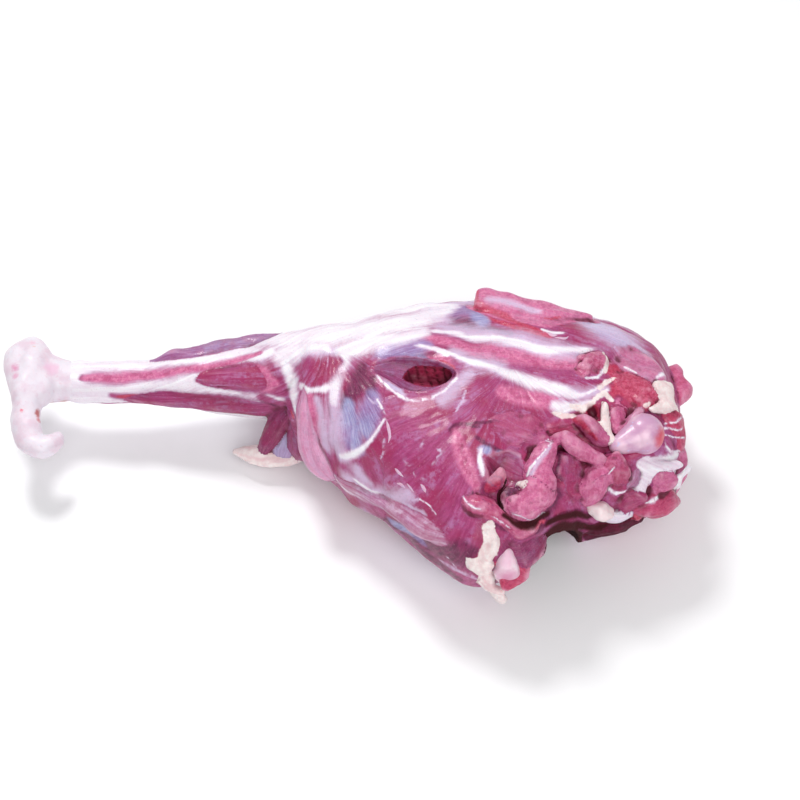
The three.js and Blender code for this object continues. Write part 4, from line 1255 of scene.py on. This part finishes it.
def skin_tree(obj):
    """The object's faces in a tree that rays can be shot at, in millimetres."""
    points = mesh_points(obj.data)
    faces = [tuple(face.vertices) for face in obj.data.polygons]
    return BVHTree.FromPolygons(points.tolist(), faces)


def on_skin(tree, x, turn):
    """Where a ray towards the leg's middle line, from outside at this turn, meets the skin, and the normal
    there."""
    y, z, width, height = leg_axis(x)
    out = np.array([0, math.cos(math.radians(turn)) * width, math.sin(math.radians(turn)) * height])
    start = np.array([x, y, z]) + out * 3
    place, normal, _, _ = tree.ray_cast(Vector(start), Vector(-out).normalized())
    return np.array(place), np.array(normal)


def make_flecks(name, flecks, skin):
    """Thin lofts along smooth lines on the skin, each half sunk into it, joined into one mesh."""
    vertices, faces = [], []
    for fleck in flecks:
        line = smooth_curve(fleck, np.linspace(0, 1, 9))
        found = [on_skin(skin, x, turn) for x, turn, _ in line]
        normal = unit(np.mean([n for _, n in found], axis=0))
        rows = [[*place, width, 0.25 * width, 1] for (place, _), (_, _, width) in zip(found, line)]
        new_vertices, new_faces = loft(rows, rings=18, sides=10, outward=normal)
        faces += [[index + len(vertices) for index in face] for face in new_faces]
        vertices += new_vertices.tolist()
    return make_object(name, vertices, faces)


def white_fat(name, low_colour, high_colour):
    """Firm white fat: nearly matt, with a little light let through."""
    material, tree, shader = new_material(
        name, Roughness=0.5, IOR=1.44, Subsurface_Weight=0.2, Subsurface_Scale=2 * MM, Coat_Weight=0.15)
    cloud = add(tree, "TexNoise", {"Vector": add(tree, "TexCoord"), "Scale": 1 / (4 * MM), "Detail": 3})
    tint = add(tree, "Mix", {0: cloud, 6: low_colour, 7: high_colour}, data_type="RGBA")
    tree.links.new(tint, shader.inputs["Base Color"])
    return material


skin = skin_tree(meat)
flecks = make_flecks("fat_flecks", FLECKS, skin)
flecks.data.materials.append(white_fat("fat_of_flecks", "#C88FB4", "#E2C6D8"))
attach(flecks, "root")

# %% [markdown]
# ## The hock
#
# The hock is bare: the skin and the foot are gone, and what is left is bone wrapped in pale sinew. It is
# made like the meat, from lofts joined and remeshed, and its neck runs a little way into the end of the
# shank.

# %% Hock lofts
HOCK = {
    "knuckle": [[-203, 79, 51, 5, 6, 6], [-203, 71, 51, 9, 9, 9], [-202, 61, 49, 11, 13, 13],
        [-201, 50, 46, 11, 13, 13], [-202, 40, 44, 10, 11, 11]],
    "hook": [[-206, 58, 47, 6, 8, 8], [-205, 49, 46, 10, 11, 11], [-204, 41, 45, 10.5, 11, 11],
        [-203, 33, 43, 9.3, 10, 10], [-203, 25, 41, 9, 9.5, 9.5], [-201, 17, 40, 9.5, 9, 9],
        [-198, 10, 38, 9, 9, 9], [-191, 6, 37, 8, 8, 8], [-185, 9, 37, 7, 7.5, 7.5],
        [-182, 13, 37, 6.5, 6, 6], [-181, 19, 37, 5, 4, 4]],
}
# the flat-faced block of the hock joint, as points round it, and half of its thickness
HOCK_BLOCK = [[-222, 68, 50], [-219, 76, 49], [-212, 84, 47], [-206, 87, 46], [-200, 85, 45],
              [-196, 80, 44], [-192, 74, 43], [-188, 57, 43], [-187, 42, 43], [-190, 37, 44],
              [-195, 34, 45], [-202, 32, 47], [-210, 34, 49], [-216, 46, 49]]
HOCK_BLOCK_THICKNESS = 13
HOCK_MELTS = 14
# places where blood shows through the sinew, how far each reaches, and its colour
STAINS = [
    ((-210, 54, 57), 4, "#D88FB4"),
    ((-209, 48, 56), 3.5, "#DFA6C2"),
    ((-188, 56, 55), 7, "#E4BBD2"),
    ((-203, 25, 50), 2, "#E42E58"),
    ((-195, 27, 45), 4, "#B4473E"),
    ((-194, 22, 44), 3, "#CC6E74"),
    ((-202, 76, 60), 5, "#E6BDD0"),
    ((-200, 71, 61), 2, "#DFA083"),
    ((-192, 42, 36), 5, "#C58078"),
    ((-183, 45, 33), 5, "#CE9F98"),
]
NECK = [[-205, 58, 45, 21, 14, 14], [-194, 58, 42, 18.5, 14, 14], [-184, 58, 40, 15.5, 13.5, 13.5],
        [-172, 57, 39, 12, 12, 12], [-160, 57, 39, 10, 10, 10]]


def make_hock():
    """The neck, the block, the knuckle and the hook as one skin."""
    hock = make_object("hock_sinew", *loft(NECK, rings=40, sides=48, blunt=12, upright=True, outward=(0, 0, 1)))
    parts = loft_objects(HOCK, rings=44, sides=40)
    parts.append(make_object("form_block", *plate(HOCK_BLOCK, HOCK_BLOCK_THICKNESS, rings=30, sides=90)))
    for part in parts:
        boolean(hock, part, "UNION")
    applied(hock, parts)
    return remeshed(hock, SKIN_VOXEL)


def roughened(obj, *lumps):
    """Moves each point along its normal by the sum of height * (noise - 0.5), for lumps of a height and a
    size."""
    points = mesh_points(obj.data)
    height = sum(high * (noise(points, size) - 0.5) for high, size in lumps)
    set_points(obj.data, points + mesh_normals(obj.data) * height[:, None])


def sinew():
    """Pale sinew over bone: near white with pink where blood shows through, and a satin surface."""
    material, tree, shader = new_material(
        "pale_sinew", Roughness=0.42, IOR=1.4, Subsurface_Weight=0.15, Subsurface_Scale=2 * MM, Coat_Weight=0.2,
        Coat_Roughness=0.2)
    shader.inputs["Subsurface Radius"].default_value = (1.0, 0.5, 0.45)
    here = add(tree, "TexCoord")
    cloud = add(tree, "TexNoise", {"Vector": here, "Scale": 1 / (14 * MM), "Detail": 4, "Roughness": 0.6})
    threads = add(tree, "TexNoise", {"Vector": here, "Scale": 1 / (3 * MM), "Detail": 3})
    colour = paint(tree, "#E6DDE7", [(cloud, 0.4, 0.66, 1, "#DFCAD8"), (threads, 0.6, 0.75, 0.4, "#D9B6C6")])
    for place, reach, stain in STAINS:
        to_place = add(tree, "VectorMath", {0: here, 1: tuple(np.array(place) * MM)}, operation="DISTANCE")
        away = frayed(tree, to_place.node.outputs["Value"], threads, 5 * MM)
        colour = paint(tree, colour, [(away, reach * MM, 0.3 * reach * MM, 0.85, stain)])
    tree.links.new(colour, shader.inputs["Base Color"])
    bump = add(tree, "Bump", {"Height": threads, "Strength": 0.4, "Distance": 0.6 * MM})
    tree.links.new(bump, shader.inputs["Normal"])
    return material


hock = make_hock()
set_points(hock.data, melted(mesh_points(hock.data), edge_ends(hock.data), HOCK_MELTS))
roughened(hock, (1.6, 11), (0.5, 4))
hock.data.materials.append(sinew())
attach(hock, "root")
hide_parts("hock_bone")
print("hock:", len(hock.data.polygons), "faces")

# %% [markdown]
# ## The ball of the hip
#
# The butcher parted the leg at the hip joint, so the ball of the thigh bone stands bare: smooth wet
# cartilage over bone.

# %% Ball, cartilage and knob
HIP_BALL = [181, -20, 86]
HIP_BALL_RADIUS = 12.5
HIP_NECK = [[182, -19, 86, 10, 10, 10], [174, -24, 87, 9, 9, 9], [167, -28, 87, 6.5, 6.5, 6.5],
            [160, -31, 86, 4, 4, 4]]
BALL_VOXEL = 0.7 * MM
CARTILAGE = [[97, -84, 59, 7.5, 10, 10], [98, -103, 57, 7.5, 10, 10]]
# the knob of bone, as points round it, and half of its thickness
KNOB = [[146, -59, 68], [150, -57, 70], [156, -57, 70], [160, -59, 68], [162, -61, 65], [161, -63, 62],
        [157, -64, 60], [152, -64, 61], [149, -62, 63]]
KNOB_THICKNESS = 6.5


def sphere_rows(centre, radius):
    """Rows for a loft with blunt 2, which is then a sphere."""
    return [[centre[0] + s * radius, centre[1], centre[2], radius, radius, radius] for s in (-1, 0, 1)]


def make_ball():
    """The ball and the neck that it stands on, as one skin."""
    ball = make_object("hip_ball", *loft(sphere_rows(HIP_BALL, HIP_BALL_RADIUS), rings=40, sides=48, blunt=2,
                                         outward=(0, 0, 1)))
    neck = make_object("form_hip_neck", *loft(HIP_NECK, rings=40, sides=40, blunt=6))
    boolean(ball, neck, "UNION")
    applied(ball, [neck])
    return remeshed(ball, BALL_VOXEL)


def cartilage(name, low_colour, high_colour, rim_colour, stain=None):
    """Wet cartilage: cloudy, from one colour to the other, with a rim colour in thin patches. A stain is a
    place in mm, how far it reaches and its colour."""
    material, tree, shader = new_material(
        name, Roughness=0.36, IOR=1.45, Subsurface_Weight=0.2, Subsurface_Scale=2 * MM, Coat_Weight=0.35,
        Coat_Roughness=0.18)
    shader.inputs["Subsurface Radius"].default_value = (1.0, 0.6, 0.6)
    here = add(tree, "TexCoord")
    cloud = add(tree, "TexNoise", {"Vector": here, "Scale": 1 / (12 * MM), "Detail": 3})
    spots = add(tree, "TexNoise", {"Vector": here, "Scale": 1 / (5 * MM), "Detail": 4, "Roughness": 0.65})
    colour = paint(tree, low_colour, [(cloud, 0.38, 0.64, 1, high_colour), (spots, 0.62, 0.72, 1, rim_colour)])
    if stain:
        place, reach, tone = stain
        to_place = add(tree, "VectorMath", {0: here, 1: tuple(np.array(place) * MM)}, operation="DISTANCE")
        away = mixture(tree, [(to_place.node.outputs["Value"], 1), (spots, 6 * MM)])
        colour = paint(tree, colour, [(away, reach * MM, 0.45 * reach * MM, 0.9, tone)])
    tree.links.new(colour, shader.inputs["Base Color"])
    bump = add(tree, "Bump", {"Height": spots, "Strength": 0.25, "Distance": 0.5 * MM})
    tree.links.new(bump, shader.inputs["Normal"])
    return material


ball = make_ball()
roughened(ball, (0.8, 10))
ball.data.materials.append(
    cartilage("hip_cartilage", "#C898BA", "#E3BFD3", "#CDC3E6", ((192, -26, 90), 13, "#C8103C")))
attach(ball, "root")
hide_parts("femur_head")

tip = make_object("cartilage_disc", *loft(CARTILAGE, rings=40, sides=48, blunt=6, outward=(0, 0, 1)))
roughened(tip, (1.8, 7), (0.8, 3))
tip.data.materials.append(
    cartilage("cut_cartilage", "#DFB9CC", "#EBD7E0", "#F0E2E8", ((98, -106, 60), 13, "#CF86A9")))
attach(tip, "root")
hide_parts("cartilage_tip")

knob = make_object("knob_of_bone", *plate(KNOB, KNOB_THICKNESS, rings=40, sides=60, square=2))
roughened(knob, (2.6, 7), (1.2, 3))
knob.data.materials.append(cartilage("pale_cartilage", "#E6CDD2", "#F1E2E4", "#D68E9C"))
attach(knob, "root")
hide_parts("trochanter_knob")
for piece in (ball, tip, knob):
    print(piece.name + ":", len(piece.data.polygons), "faces")

# %% [markdown]
# ## Floor and light
#
# A white floor and soft light from above and behind, with a weaker fill from the front, as in a bright
# kitchen.

# %% Floor


def make_floor():
    """A square floor 6 m wide, nearly matt."""
    side = 3000
    corners = [[-side, -side, 0], [side, -side, 0], [side, side, 0], [-side, side, 0]]
    floor = make_object("floor", corners, [[0, 1, 2, 3]])
    material, tree, shader = new_material("white_floor", Roughness=0.7)
    cloud = add(tree, "TexNoise", {"Vector": add(tree, "TexCoord"), "Scale": 1 / (300 * MM)})
    tint = add(tree, "Mix", {0: cloud, 6: "#F7F8FA", 7: "#FBFBFC"}, data_type="RGBA")
    tree.links.new(tint, shader.inputs["Base Color"])
    floor.data.materials.append(material)


make_floor()

# %% Light
LIGHT_AIM = (0.05, 0, 0.05)


def area_light(name, place, size, power):
    """A round white lamp at a place in metres, turned towards the leg."""
    data = bpy.data.lights.new(name, "AREA")
    data.shape = "DISK"
    data.size = size
    data.energy = power
    light = bpy.data.objects.new(name, data)
    light.location = place
    way = np.array(LIGHT_AIM) - np.array(place)
    light.rotation_euler = Vector(way).to_track_quat("-Z", "Y").to_euler()
    bpy.context.scene.collection.objects.link(light)


area_light("key", (-0.35, 0.75, 1.25), 0.4, 12)
area_light("fill", (0.35, -1.0, 1.1), 1.2, 12)
world = bpy.data.worlds.new("soft_white")
world.use_nodes = True
world.node_tree.nodes["Background"].inputs["Color"].default_value = (1, 1, 1, 1)
world.node_tree.nodes["Background"].inputs["Strength"].default_value = 0.45
bpy.context.scene.world = world
bpy.context.scene.view_settings.view_transform = "Standard"
